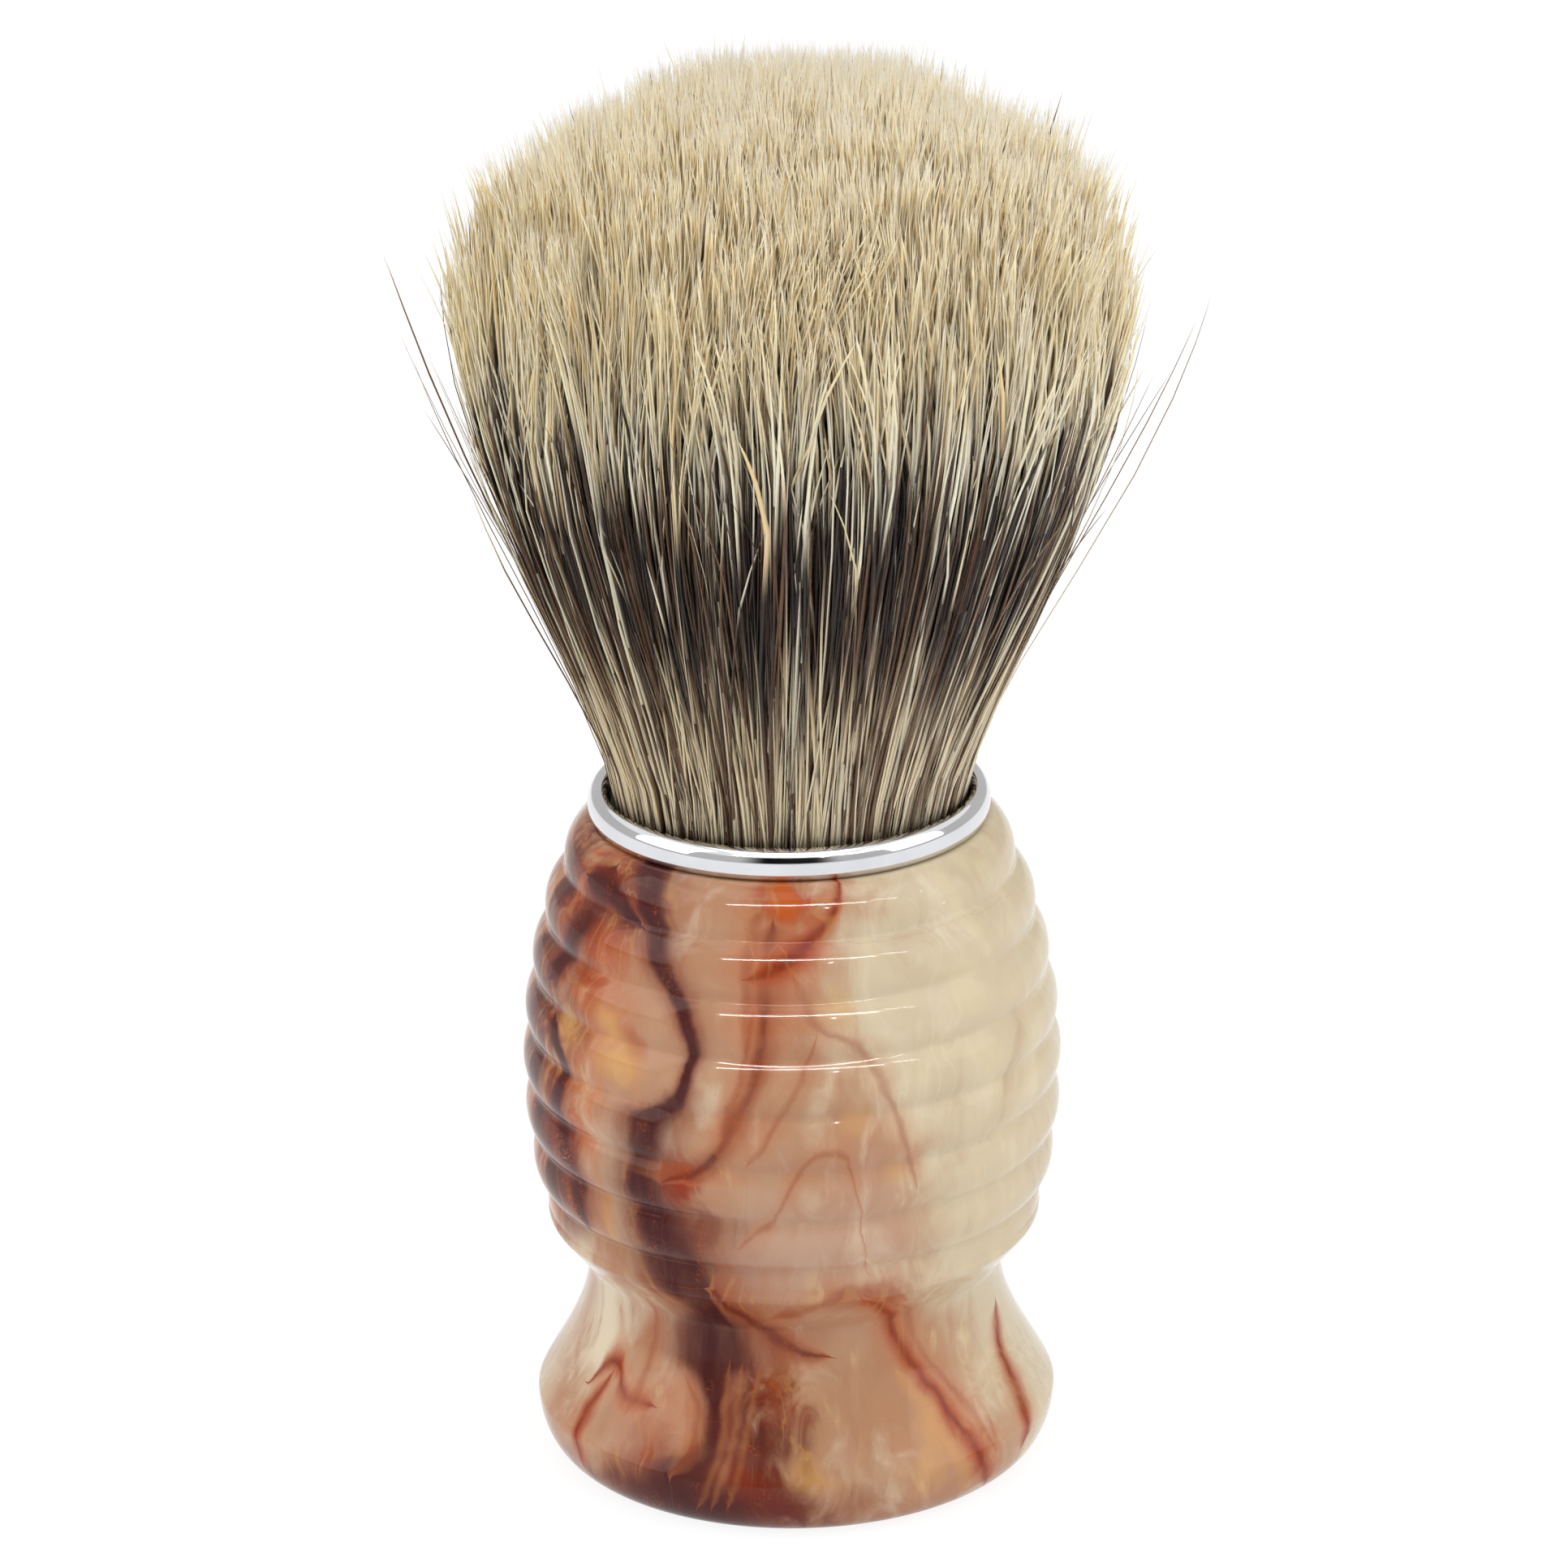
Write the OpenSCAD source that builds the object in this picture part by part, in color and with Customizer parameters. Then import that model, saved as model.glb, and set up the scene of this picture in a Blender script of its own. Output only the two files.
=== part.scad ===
// Shaving brush: a turned, ribbed resin handle, a bright collar ring
// and a domed knot of hair that is bound, set and glued into the handle.
// Millimetres, +Z up, origin at the centre of the flat base.

/* [Handle] */
// Height of the handle, from the base to the face under the collar
handle_h = 45.5; // [42:0.5:56]
// Diameter of the flat base
base_d = 30.6; // [26:0.2:34]
// Diameter of the foot at its widest
foot_d = 35.6; // [34.4:0.2:42]
// Height of the foot's widest point
foot_h = 3.9; // [2.5:0.1:5]
// Diameter of the crease at the waist
waist_d = 28.4; // [25:0.2:30]
// Height of the crease at the waist
waist_h = 13.9; // [12:0.1:15.5]
// How far the neck draws in below the crease
neck_draw = 0.6; // [0:0.1:1.5]
// Length of the straight pull of the neck below the crease
neck_run = 4; // [2:0.1:6]
// Length of the straight pull of the neck above the foot's widest point
foot_run = 0.8; // [0.2:0.1:2]
// Diameter of the barrel at its widest groove
barrel_d = 35.4; // [33:0.1:42]
// Height of the barrel's widest point
barrel_mid_h = 28; // [25:0.5:32]
// Width of the handle's top face outside the collar
shoulder_w = 0.1; // [0.1:0.05:1]

/* [Ribs] */
// Number of grooves round the barrel
groove_count = 7; // [4:1:9]
// Height of the top rib, from the first groove to the top face
top_rib_h = 3.4; // [2:0.1:4.5]
// Height of the lowest rib, from the rim to the last groove
low_rib_h = 2.8; // [1.5:0.1:4]
// Height of the barrel's rim above the crease
rim_rise = 2.6; // [1.5:0.1:3.5]
// How far the rim stands out of the arc that the grooves lie on
rim_out = 0.55; // [0:0.05:1]
// Edge radius of the rim
rim_round = 0.9; // [0.2:0.05:1.2]
// How far a full rib swells past its two grooves
rib_swell = 0.6; // [0.2:0.05:0.8]

/* [Collar] */
// Width of the collar's bead
bead_w = 1.5; // [1:0.1:2.4]
// Height of the collar's bead
bead_h = 2.2; // [1.5:0.1:3]
// Edge radius of the collar's bead
bead_round = 0.7; // [0.2:0.05:1]
// Wall of the collar's sleeve
sleeve_wall = 0.6; // [0.4:0.05:0.9]
// Length of the collar's sleeve inside the handle
sleeve_len = 4.5; // [2:0.1:8]
// Gap between the sleeve and its counterbore
sleeve_gap = 0.05; // [0.02:0.01:0.15]

/* [Socket] */
// Depth of the socket below the top face
socket_depth = 14.5; // [12:0.1:18]
// Thickness of the adhesive round the set base
glue_wall = 0.3; // [0.15:0.05:0.8]
// Thickness of the adhesive under the set base
glue_floor = 0.8; // [0.3:0.1:2]
// Gap between the adhesive and the faces that it bonds
set_gap = 0.02; // [0.01:0.01:0.05]

/* [Set base] */
// Diameter of the knot's set base
plug_d = 23.4; // [20:0.1:25]
// Height of the set base
plug_h = 12; // [9:0.1:13]
// Thickness of the binding thread
thread_d = 0.8; // [0.4:0.1:1.2]
// Number of turns of the binding thread
thread_turns = 4; // [2:1:6]
// Distance from one turn of the thread to the next
thread_pitch = 0.7; // [0.5:0.05:0.75]
// Depth of the thread below the top of the set base
thread_drop = 1; // [0.5:0.1:2]

/* [Knot] */
// Height of the hair above the collar
loft = 49; // [42:0.2:58]
// Diameter of the hair where it is fullest
bloom_d = 44.6; // [36:0.2:56]
// Height of the dome above the fullest point
dome_h = 14.8; // [6:0.1:18]
// How late the hair flares: 1 opens at the root, more keeps it straight for longer
knot_flare = 1.4; // [1:0.05:1.6]
// Gap between the packed roots and the collar
root_gap = 0.3; // [0.2:0.05:0.6]
// Depth of the packed roots' top below the collar's top
root_drop = 0.8; // [0.6:0.1:1.4]
// Number of strands
strand_count = 400; // [300:10:440]
// Width of a strand at its root, measured across its corners
strand_root_w = 0.66; // [0.3:0.02:0.74]
// Width of a strand where it is thickest, measured across its corners
strand_full_w = 1.6; // [0.5:0.05:1.9]
// Length of the taper at a strand's tip
tip_taper = 7; // [3:0.5:12]
// Most that a strand's tip falls short of the dome
tip_stagger = 1.6; // [0:0.1:3]

/* [Hidden] */

// Facets of the round faces
$fn = 96;
// Points along the neck's curve and the foot's round
neck_steps = 18;
foot_steps = 10;
// How far a cutting shape runs past the face that it opens
cut_over = 1;

// Radii and heights of the socket and of what is glued into it
plug_r = plug_d / 2;
socket_r = plug_r + glue_wall;
socket_z = handle_h - socket_depth;
plug_z = socket_z + glue_floor;
plug_top_z = plug_z + plug_h;
sleeve_r = socket_r + sleeve_wall;
counterbore_r = sleeve_r + sleeve_gap;
bead_r = socket_r + bead_w;
collar_top_z = handle_h + bead_h;

// Radii and heights of the handle
base_r = base_d / 2;
foot_r = foot_d / 2;
waist_r = waist_d / 2;
barrel_r = barrel_d / 2;
top_r = bead_r + shoulder_w;
rim_z = waist_h + rim_rise;

// The grooves lie on one arc, which passes through the barrel's widest point and its top edge
barrel_in = barrel_r - top_r;
barrel_up = handle_h - barrel_mid_h;
barrel_arc_r = (barrel_in ^ 2 + barrel_up ^ 2) / (2 * barrel_in);
function barrel_at(z) =
  barrel_r - barrel_arc_r + sqrt(barrel_arc_r ^ 2 - (z - barrel_mid_h) ^ 2);

// Rim: a small round that stands a little out of the barrel's arc
rim_c = [barrel_at(rim_z + rim_round) + rim_out - rim_round, rim_z + rim_round];
rim_join_angle = 25;
rim_end = rim_c + rim_round * [cos(rim_join_angle), sin(rim_join_angle)];

// Grooves from the lowest up, with the rim and the top edge as the outer ribs' ends
groove_low_z = rim_z + low_rib_h;
groove_high_z = handle_h - top_rib_h;
rib_pitch = (groove_high_z - groove_low_z) / (groove_count - 1);
grooves = [
  for (i = [0 : groove_count - 1])
    let (z = groove_low_z + i * rib_pitch) [barrel_at(z), z]
];
rib_ends = concat([rim_end], grooves, [[top_r, handle_h]]);
rib_arc_r = (rib_pitch ^ 2 / 4 + rib_swell ^ 2) / (2 * rib_swell);

// A point on a cubic curve
function cubic(a, b, c, d, t) =
  (1 - t) ^ 3 * a + 3 * (1 - t) ^ 2 * t * b + 3 * (1 - t) * t ^ 2 * c + t ^ 3 * d;

// Foot from the base up to its widest point, then the neck up to the crease
foot_line = [
  for (i = [0 : foot_steps])
    let (a = 90 * (1 - i / foot_steps))
      [base_r + (foot_r - base_r) * cos(a), foot_h * (1 - sin(a))]
];
crease = [waist_r, waist_h];
neck_line = [
  for (i = [1 : neck_steps])
    cubic(
      [foot_r, foot_h], [foot_r, foot_h + foot_run],
      crease - [neck_draw, neck_run], crease, i / neck_steps
    )
];

// The underside of the barrel leaves the crease and touches the rim's round
rim_way = rim_c - crease;
under_angle = atan2(rim_way.y, rim_way.x) - asin(rim_round / norm(rim_way));
under_end = crease + sqrt(norm(rim_way) ^ 2 - rim_round ^ 2) * [cos(under_angle), sin(under_angle)];
core_line = [for (g = grooves) g - [rib_swell, 0]];

// Turned outline of the handle, right half
module handle_outline() {
  polygon(concat(
    [[0, 0]], foot_line, neck_line, [under_end, rim_c], core_line,
    [[top_r - rib_swell, handle_h], [0, handle_h]]
  ));
  translate(rim_c)
    circle(rim_round);
  intersection() {
    union()
      for (i = [0 : groove_count])
        rib_disc(rib_ends[i], rib_ends[i + 1]);
    translate([0, rim_c.y])
      square([barrel_r + rim_out + rib_swell, handle_h - rim_c.y]);
  }
}

// Disc whose edge is the round of a rib from point a up to point b
module rib_disc(a, b) {
  way = b - a;
  inward = [-way.y, way.x] / norm(way);
  translate((a + b) / 2 + inward * sqrt(rib_arc_r ^ 2 - (norm(way) / 2) ^ 2))
    circle(rib_arc_r);
}

module handle() {
  color([0.85, 0.73, 0.6])
    difference() {
      rotate_extrude()
        handle_outline();
      translate([0, 0, socket_z])
        cylinder(h = socket_depth + cut_over, r = socket_r);
      translate([0, 0, handle_h - sleeve_len])
        cylinder(h = sleeve_len + cut_over, r = counterbore_r);
    }
}

// Bead with rounded edges, on a thin sleeve that stands in the counterbore
module collar_ring() {
  // The rounding leaves a narrow flat on each side of the bead
  edge_r = min(bead_round, 0.48 * bead_w, 0.48 * bead_h);
  color([0.87, 0.88, 0.9])
    rotate_extrude() {
      translate([socket_r, handle_h - sleeve_len])
        square([sleeve_wall, sleeve_len + edge_r]);
      translate([socket_r, handle_h])
        bead_outline(edge_r);
    }
}

// Section of the bead: a square with its four corners rounded
module bead_outline(edge_r) {
  translate([0, edge_r])
    square([bead_w, bead_h - 2 * edge_r]);
  translate([edge_r, 0])
    square([bead_w - 2 * edge_r, bead_h]);
  for (x = [edge_r, bead_w - edge_r], y = [edge_r, bead_h - edge_r])
    translate([x, y])
      circle(edge_r);
}

// Cup of cured adhesive between the set base and the socket
module socket_adhesive() {
  color([0.93, 0.86, 0.62])
    translate([0, 0, socket_z])
      difference() {
        cylinder(h = glue_floor + plug_h, r = socket_r - set_gap);
        translate([0, 0, glue_floor])
          cylinder(h = plug_h + cut_over, r = plug_r + set_gap);
      }
}

// Height and depth of the groove that the binding thread lies in
thread_band_h = thread_pitch * (thread_turns - 1) + thread_d;
thread_top_z = plug_top_z - thread_drop;
thread_groove_r = plug_r - thread_d - 2 * set_gap;

// Roots of the hair, set hard
module knot_plug() {
  color([0.42, 0.33, 0.22])
    difference() {
      translate([0, 0, plug_z])
        cylinder(h = plug_h, r = plug_r);
      translate([0, 0, thread_top_z - thread_band_h])
        rotate_extrude()
          translate([thread_groove_r, 0])
            square([thread_d + cut_over, thread_band_h]);
    }
}

// Turns of thread that bind the roots
module binding_thread() {
  color([0.9, 0.88, 0.8])
    rotate_extrude()
      for (i = [0 : thread_turns - 1])
        translate([
          plug_r - set_gap - thread_d / 2,
          thread_top_z - thread_d / 2 - i * thread_pitch
        ])
          circle(thread_d / 2);
}

// Strands stand on a sunflower spiral and spread alike at each height, so that none crosses another
golden_angle = 180 * (3 - sqrt(5));
golden_share = (sqrt(5) - 1) / 2;
strand_sides = 3;
root_r = socket_r - root_gap;
root_top_z = collar_top_z - root_drop;
// How far a strand runs down into the packed roots, and how far the outermost stay from their edge
root_sink = 0.4;
root_edge = 0.1;
root_spread_r = root_r - strand_root_w / 2 - root_edge;
bloom_r = bloom_d / 2;
bloom_z = collar_top_z + loft - dome_h;
// A strand has corners at its root, at its bend and where its taper starts
root_z = root_top_z - root_sink;
bend_share = 0.33;
bend_z = root_z + bend_share * (bloom_z - root_z);
strand_widths = [strand_root_w, (strand_root_w + strand_full_w) / 2, strand_full_w];
rings = len(strand_widths);
// How much wider than its root circle the hair has spread at a height
function spread_at(z) =
  let (rise = min(1, (z - root_z) / (bloom_z - root_z)))
    1 + (bloom_r / root_spread_r - 1) * sin(90 * rise) ^ knot_flare;

function root_at(i) =
  let (r = root_spread_r * sqrt((i + 0.5) / strand_count))
    r * [cos(i * golden_angle), sin(i * golden_angle)];
function tip_z(i) =
  let (shorter = i == 0 ? 0 : tip_stagger * (i * golden_share % 1))
    bloom_z + dome_h * sqrt(1 - i / strand_count) - shorter;
function strand_points(i) =
  let (
    root = root_at(i),
    tip = root * spread_at(tip_z(i)),
    ring_z = [root_z, bend_z, tip_z(i) - tip_taper]
  )
    concat(
      [
        for (k = [0 : rings - 1], j = [0 : strand_sides - 1])
          let (
            a = i * golden_angle + 360 * j / strand_sides,
            c = root * spread_at(ring_z[k]),
            w = strand_widths[k] / 2
          )
            [c.x + w * cos(a), c.y + w * sin(a), ring_z[k]]
      ],
      [[tip.x, tip.y, tip_z(i)]]
    );
// Corners of one strand's faces, counted from its first point
strand_size = rings * strand_sides + 1;
strand_faces = concat(
  [[for (j = [0 : strand_sides - 1]) j]],
  [
    for (k = [0 : rings - 2], j = [0 : strand_sides - 1])
      let (a = k * strand_sides + j, b = k * strand_sides + (j + 1) % strand_sides)
        each [[a, a + strand_sides, b], [b, a + strand_sides, b + strand_sides]]
  ],
  [
    for (j = [0 : strand_sides - 1])
      let (k = (rings - 1) * strand_sides)
        [k + j, strand_size - 1, k + (j + 1) % strand_sides]
  ]
);

// Hair: the strands, on the packed roots that fill the collar
module knot_hair() {
  color([0.72, 0.62, 0.47]) {
    translate([0, 0, plug_top_z])
      cylinder(h = root_top_z - plug_top_z, r = root_r);
    polyhedron(
      points = [for (i = [0 : strand_count - 1]) each strand_points(i)],
      faces = [
        for (i = [0 : strand_count - 1], f = strand_faces)
          [for (p = f) p + i * strand_size]
      ]
    );
  }
}

handle();
collar_ring();
socket_adhesive();
knot_plug();
binding_thread();
knot_hair();
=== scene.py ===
import math
import bmesh
import bpy
import numpy as np
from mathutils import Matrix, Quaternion, Vector


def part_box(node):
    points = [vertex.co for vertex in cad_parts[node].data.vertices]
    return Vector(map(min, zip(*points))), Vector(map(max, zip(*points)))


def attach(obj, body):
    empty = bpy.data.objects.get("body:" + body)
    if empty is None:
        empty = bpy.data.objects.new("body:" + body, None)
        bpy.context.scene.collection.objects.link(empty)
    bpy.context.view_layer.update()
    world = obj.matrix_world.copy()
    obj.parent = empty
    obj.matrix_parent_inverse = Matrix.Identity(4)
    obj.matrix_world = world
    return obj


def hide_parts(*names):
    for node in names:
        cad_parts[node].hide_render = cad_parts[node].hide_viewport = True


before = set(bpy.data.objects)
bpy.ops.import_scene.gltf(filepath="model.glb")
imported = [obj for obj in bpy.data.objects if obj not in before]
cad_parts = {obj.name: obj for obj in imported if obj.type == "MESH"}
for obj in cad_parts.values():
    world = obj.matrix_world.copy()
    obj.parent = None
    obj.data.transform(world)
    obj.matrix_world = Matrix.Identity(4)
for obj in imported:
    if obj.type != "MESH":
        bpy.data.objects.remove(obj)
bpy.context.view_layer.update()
mm = 0.001
brushBody = "root"  # nothing on the brush moves
print("frame loaded:", sorted(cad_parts))


def tone(red, green, blue):
    # a colour as seen on a screen, 0 to 255, for a node socket
    scaled = [c / 255 for c in (red, green, blue)]
    return [c / 12.92 if c <= 0.04045 else ((c + 0.055) / 1.055) ** 2.4 for c in scaled] + [1.0]


# short ways to lay nodes
def feed(tree, socket, value):
    if isinstance(value, bpy.types.NodeSocket):
        tree.links.new(value, socket)
    else:
        socket.default_value = value


def lay(tree, kind, inputs=None, **settings):
    node = tree.nodes.new("ShaderNode" + kind)
    for name, value in settings.items():
        setattr(node, name, value)
    for name, value in (inputs or {}).items():
        feed(tree, node.inputs[name], value)
    return node


def calc(tree, operation, first, second=0.0, third=0.0, clamp=False):
    sockets = {0: first, 1: second, 2: third}
    return lay(tree, "Math", sockets, operation=operation, use_clamp=clamp).outputs[0]


def ease(tree, value, low, high, start=0.0, end=1.0):
    sockets = {"Value": value, "From Min": low, "From Max": high, "To Min": start, "To Max": end}
    return lay(tree, "MapRange", sockets, interpolation_type="SMOOTHSTEP").outputs[0]


def mixTone(tree, amount, under, over):
    return lay(tree, "Mix", {0: amount, 6: under, 7: over}, data_type="RGBA").outputs[2]


def cloud(tree, where, scale, detail=2.0, distortion=0.0, rough=0.5):
    # outputs: 0 is the noise, 1 the same in three colours
    sockets = {"Vector": where, "Scale": scale, "Detail": detail, "Roughness": rough,
               "Distortion": distortion}
    return lay(tree, "TexNoise", sockets).outputs


def cells(tree, where, scale):
    return lay(tree, "TexVoronoi", {"Vector": where, "Scale": scale}, feature="F1").outputs


def channels(tree, colour):
    return lay(tree, "SeparateColor", {0: colour}).outputs


def centred(tree, value):
    # noise about zero
    return calc(tree, "SUBTRACT", value, 0.5)


def objectPlace(tree):
    return lay(tree, "TexCoord").outputs["Object"]


def newMaterial(name):
    material = bpy.data.materials.new(name)
    material.use_nodes = True
    tree = material.node_tree
    surface = tree.nodes["Principled BSDF"]
    return material, tree, surface


def setPlain(surface, values):
    for name, value in values.items():
        surface.inputs[name].default_value = value


def addBump(tree, surface, strength, depth, height):
    bump = lay(tree, "Bump", {"Strength": strength, "Distance": depth * mm, "Height": height})
    feed(tree, surface.inputs["Normal"], bump.outputs[0])


def newGroup(name, inputs, outputs):
    # a group whose sockets are all plain values
    group = bpy.data.node_groups.new(name, "ShaderNodeTree")
    for label in inputs:
        group.interface.new_socket(label, in_out="INPUT", socket_type="NodeSocketFloat")
    for label in outputs:
        group.interface.new_socket(label, in_out="OUTPUT", socket_type="NodeSocketFloat")
    return group, group.nodes.new("NodeGroupInput").outputs, group.nodes.new("NodeGroupOutput").inputs


# handling marks and dust, shared by the resin and the ring
handling = {
    "smudge": (4, 0.6),  # detail and distortion
    "dustScale": 700, "dustSize": (0.12, 0.05),
    "turningLines": (400, 400, 9000), "lineHeight": 0.4, "smudgeHeight": 0.6,
}


def handlingGroup(h):
    names = ("Smudge size", "Dust share")
    group, given, made = newGroup("handlingMarks", names, ["Smudge", "Dust", "Height"])
    place = objectPlace(group)
    smudge = cloud(group, place, given["Smudge size"], *h["smudge"])[0]
    specks = cells(group, place, h["dustScale"])
    chosen = calc(group, "LESS_THAN", channels(group, specks["Color"])[0], given["Dust share"])
    dust = calc(group, "MULTIPLY", ease(group, specks["Distance"], *h["dustSize"]), chosen)
    polish = lay(group, "Mapping", {"Vector": place, "Scale": h["turningLines"]}).outputs[0]
    lines = cloud(group, polish, 1)[0]
    height = calc(group, "ADD", calc(group, "MULTIPLY", lines, h["lineHeight"]),
                  calc(group, "MULTIPLY", smudge, h["smudgeHeight"]))
    for name, value in (("Smudge", smudge), ("Dust", dust), ("Height", height)):
        feed(group, made[name], value)
    return group


handlingMarks = handlingGroup(handling)


def addMarks(tree, smudgeSize, dustShare):
    sockets = {"Smudge size": smudgeSize, "Dust share": dustShare}
    return lay(tree, "Group", sockets, node_tree=handlingMarks).outputs


# turned pieces: an outline of radius and height in mm, spun about the brush's axis
def arcPoints(centre, radius, start, end, steps):
    angles = [math.radians(start + (end - start) * i / steps) for i in range(steps + 1)]
    return [(centre[0] + radius * math.cos(a), centre[1] + radius * math.sin(a)) for a in angles]


def straight(a, b, steps):
    return [(a[0] + (b[0] - a[0]) * i / steps, a[1] + (b[1] - a[1]) * i / steps) for i in range(steps + 1)]


def newPiece(name, bm):
    mesh = bpy.data.meshes.new(name)
    bm.to_mesh(mesh)
    bm.free()
    piece = bpy.data.objects.new(name, mesh)
    bpy.context.scene.collection.objects.link(piece)
    return piece


def turnOutline(name, outline, turns, closed, sharpAngle=40, weld=0.0005):
    bm = bmesh.new()
    verts = [bm.verts.new((r * mm, 0, z * mm)) for r, z in outline]
    edges = [bm.edges.new(pair) for pair in zip(verts, verts[1:])]
    if closed:
        edges.append(bm.edges.new((verts[-1], verts[0])))
    bmesh.ops.spin(bm, geom=verts + edges, cent=(0, 0, 0), axis=(0, 0, 1), angle=math.tau, steps=turns,
                   use_merge=True)
    bmesh.ops.remove_doubles(bm, verts=bm.verts, dist=weld * mm)
    bmesh.ops.recalc_face_normals(bm, faces=bm.faces)
    for f in bm.faces:
        f.smooth = True
    for e in bm.edges:
        e.smooth = e.calc_face_angle(0) < math.radians(sharpAngle)
    return newPiece(name, bm)


def dress(piece, material, slot, *nodes):
    piece.data.materials.append(material)
    if nodes:
        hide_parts(*nodes)
    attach(piece, brushBody)


# resin handle
handleTurning = {
    "height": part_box("handle")[1].z / mm,
    "baseR": 15.3, "footR": 17.8, "footH": 3.9, "footRun": 0.8,
    "creaseR": 14.2, "creaseH": 13.9, "neckDraw": 0.6, "neckRun": 4,
    "barrelR": 17.7, "barrelMidH": 28, "topR": 13.6,
    "rimRise": 2.6, "rimOut": 0.55, "rimRound": 0.9, "rimJoin": 25,
    "grooves": 7, "lowRib": 2.8, "topRib": 3.4, "ribSwell": 0.6,
    "boreR": 12.65, "boreDepth": 4.5, "socketR": 12, "socketDepth": 14.5,
    "turns": 240, "footSteps": 20, "neckSteps": 44, "underSteps": 12, "rimSteps": 10, "ribSteps": 20,
    "polish": 1,  # rounds of smoothing
}


def handleOutline(t):
    # foot: a quarter ellipse, then the neck's curve up to the crease
    foot = []
    for i in range(t["footSteps"] + 1):
        a = math.radians(90 - 90 * i / t["footSteps"])
        foot.append((t["baseR"] + (t["footR"] - t["baseR"]) * math.cos(a), t["footH"] * (1 - math.sin(a))))
    crease = Vector((t["creaseR"], t["creaseH"]))
    pulls = [Vector((t["footR"], t["footH"])), Vector((t["footR"], t["footH"] + t["footRun"])),
             crease - Vector((t["neckDraw"], t["neckRun"])), crease]
    neck = []
    for i in range(1, t["neckSteps"] + 1):
        s = i / t["neckSteps"]
        p = ((1 - s) ** 3 * pulls[0] + 3 * (1 - s) ** 2 * s * pulls[1]
             + 3 * (1 - s) * s * s * pulls[2] + s ** 3 * pulls[3])
        neck.append(tuple(p))
    # the grooves lie on one arc through the barrel's widest point and its top edge
    inward, up = t["barrelR"] - t["topR"], t["height"] - t["barrelMidH"]
    bigR = (inward ** 2 + up ** 2) / (2 * inward)

    def barrelAt(z):
        return t["barrelR"] - bigR + math.sqrt(bigR ** 2 - (z - t["barrelMidH"]) ** 2)

    rimZ = t["creaseH"] + t["rimRise"]
    rim = Vector((barrelAt(rimZ + t["rimRound"]) + t["rimOut"] - t["rimRound"], rimZ + t["rimRound"]))
    way = rim - crease
    under = math.degrees(math.atan2(way.y, way.x) - math.asin(t["rimRound"] / way.length))
    rimArc = arcPoints(rim, t["rimRound"], under - 90, t["rimJoin"], t["rimSteps"])
    underside = straight(crease, rimArc[0], t["underSteps"])[1:-1]
    # ribs: equal rounds from groove to groove
    lowZ, highZ = rimZ + t["lowRib"], t["height"] - t["topRib"]
    pitch = (highZ - lowZ) / (t["grooves"] - 1)
    stops = [Vector(rimArc[-1])]
    stops += [Vector((barrelAt(lowZ + i * pitch), lowZ + i * pitch)) for i in range(t["grooves"])]
    stops += [Vector((t["topR"], t["height"]))]
    ribR = (pitch ** 2 / 4 + t["ribSwell"] ** 2) / (2 * t["ribSwell"])
    ribs = []
    for a, b in zip(stops, stops[1:]):
        chord = b - a
        inwardWay = Vector((-chord.y, chord.x)).normalized()
        centre = (a + b) / 2 + inwardWay * math.sqrt(ribR ** 2 - chord.length_squared / 4)
        first, last = [math.degrees(math.atan2(p.y - centre.y, p.x - centre.x)) for p in (a, b)]
        ribs += arcPoints(centre, ribR, first, last, t["ribSteps"])[1:]
    turned = np.array(neck + underside + rimArc + ribs)
    for i in range(t["polish"]):  # polishing softens the grooves a little
        turned[1:-1] = (turned[:-2] + 2 * turned[1:-1] + turned[2:]) / 4
    flatBase = straight((0, 0), foot[0], 5)[:-1]
    top = straight((t["topR"], t["height"]), (t["boreR"], t["height"]), 3)[1:]
    boreZ, floorZ = t["height"] - t["boreDepth"], t["height"] - t["socketDepth"]
    bore = straight((t["boreR"], t["height"]), (t["boreR"], boreZ), 4)[1:] + [(t["socketR"], boreZ)]
    socket = straight((t["socketR"], boreZ), (t["socketR"], floorZ), 6)[1:]
    floor = straight((t["socketR"], floorZ), (0, floorZ), 5)[1:]
    return flatBase + foot + [tuple(p) for p in turned] + top + bore + socket + floor


handlePiece = turnOutline("turnedHandle", handleOutline(handleTurning), handleTurning["turns"], False)
print("handle turned:", len(handlePiece.data.polygons), "faces")

# tones of the cast resin
cream = tone(202, 186, 157)
paleCream = tone(222, 211, 184)
milky = tone(208, 194, 157)
straw = tone(216, 192, 140)
rosy = tone(176, 130, 100)
palePink = tone(189, 157, 135)
tan = tone(164, 122, 92)
peach = tone(182, 110, 72)
maroon = tone(70, 26, 25)
oxblood = tone(92, 31, 24)
rust = tone(132, 51, 27)
orangeRed = tone(152, 48, 13)
amber = tone(186, 84, 17)
gold = tone(208, 160, 94)
paleDust = tone(240, 236, 228)

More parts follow.
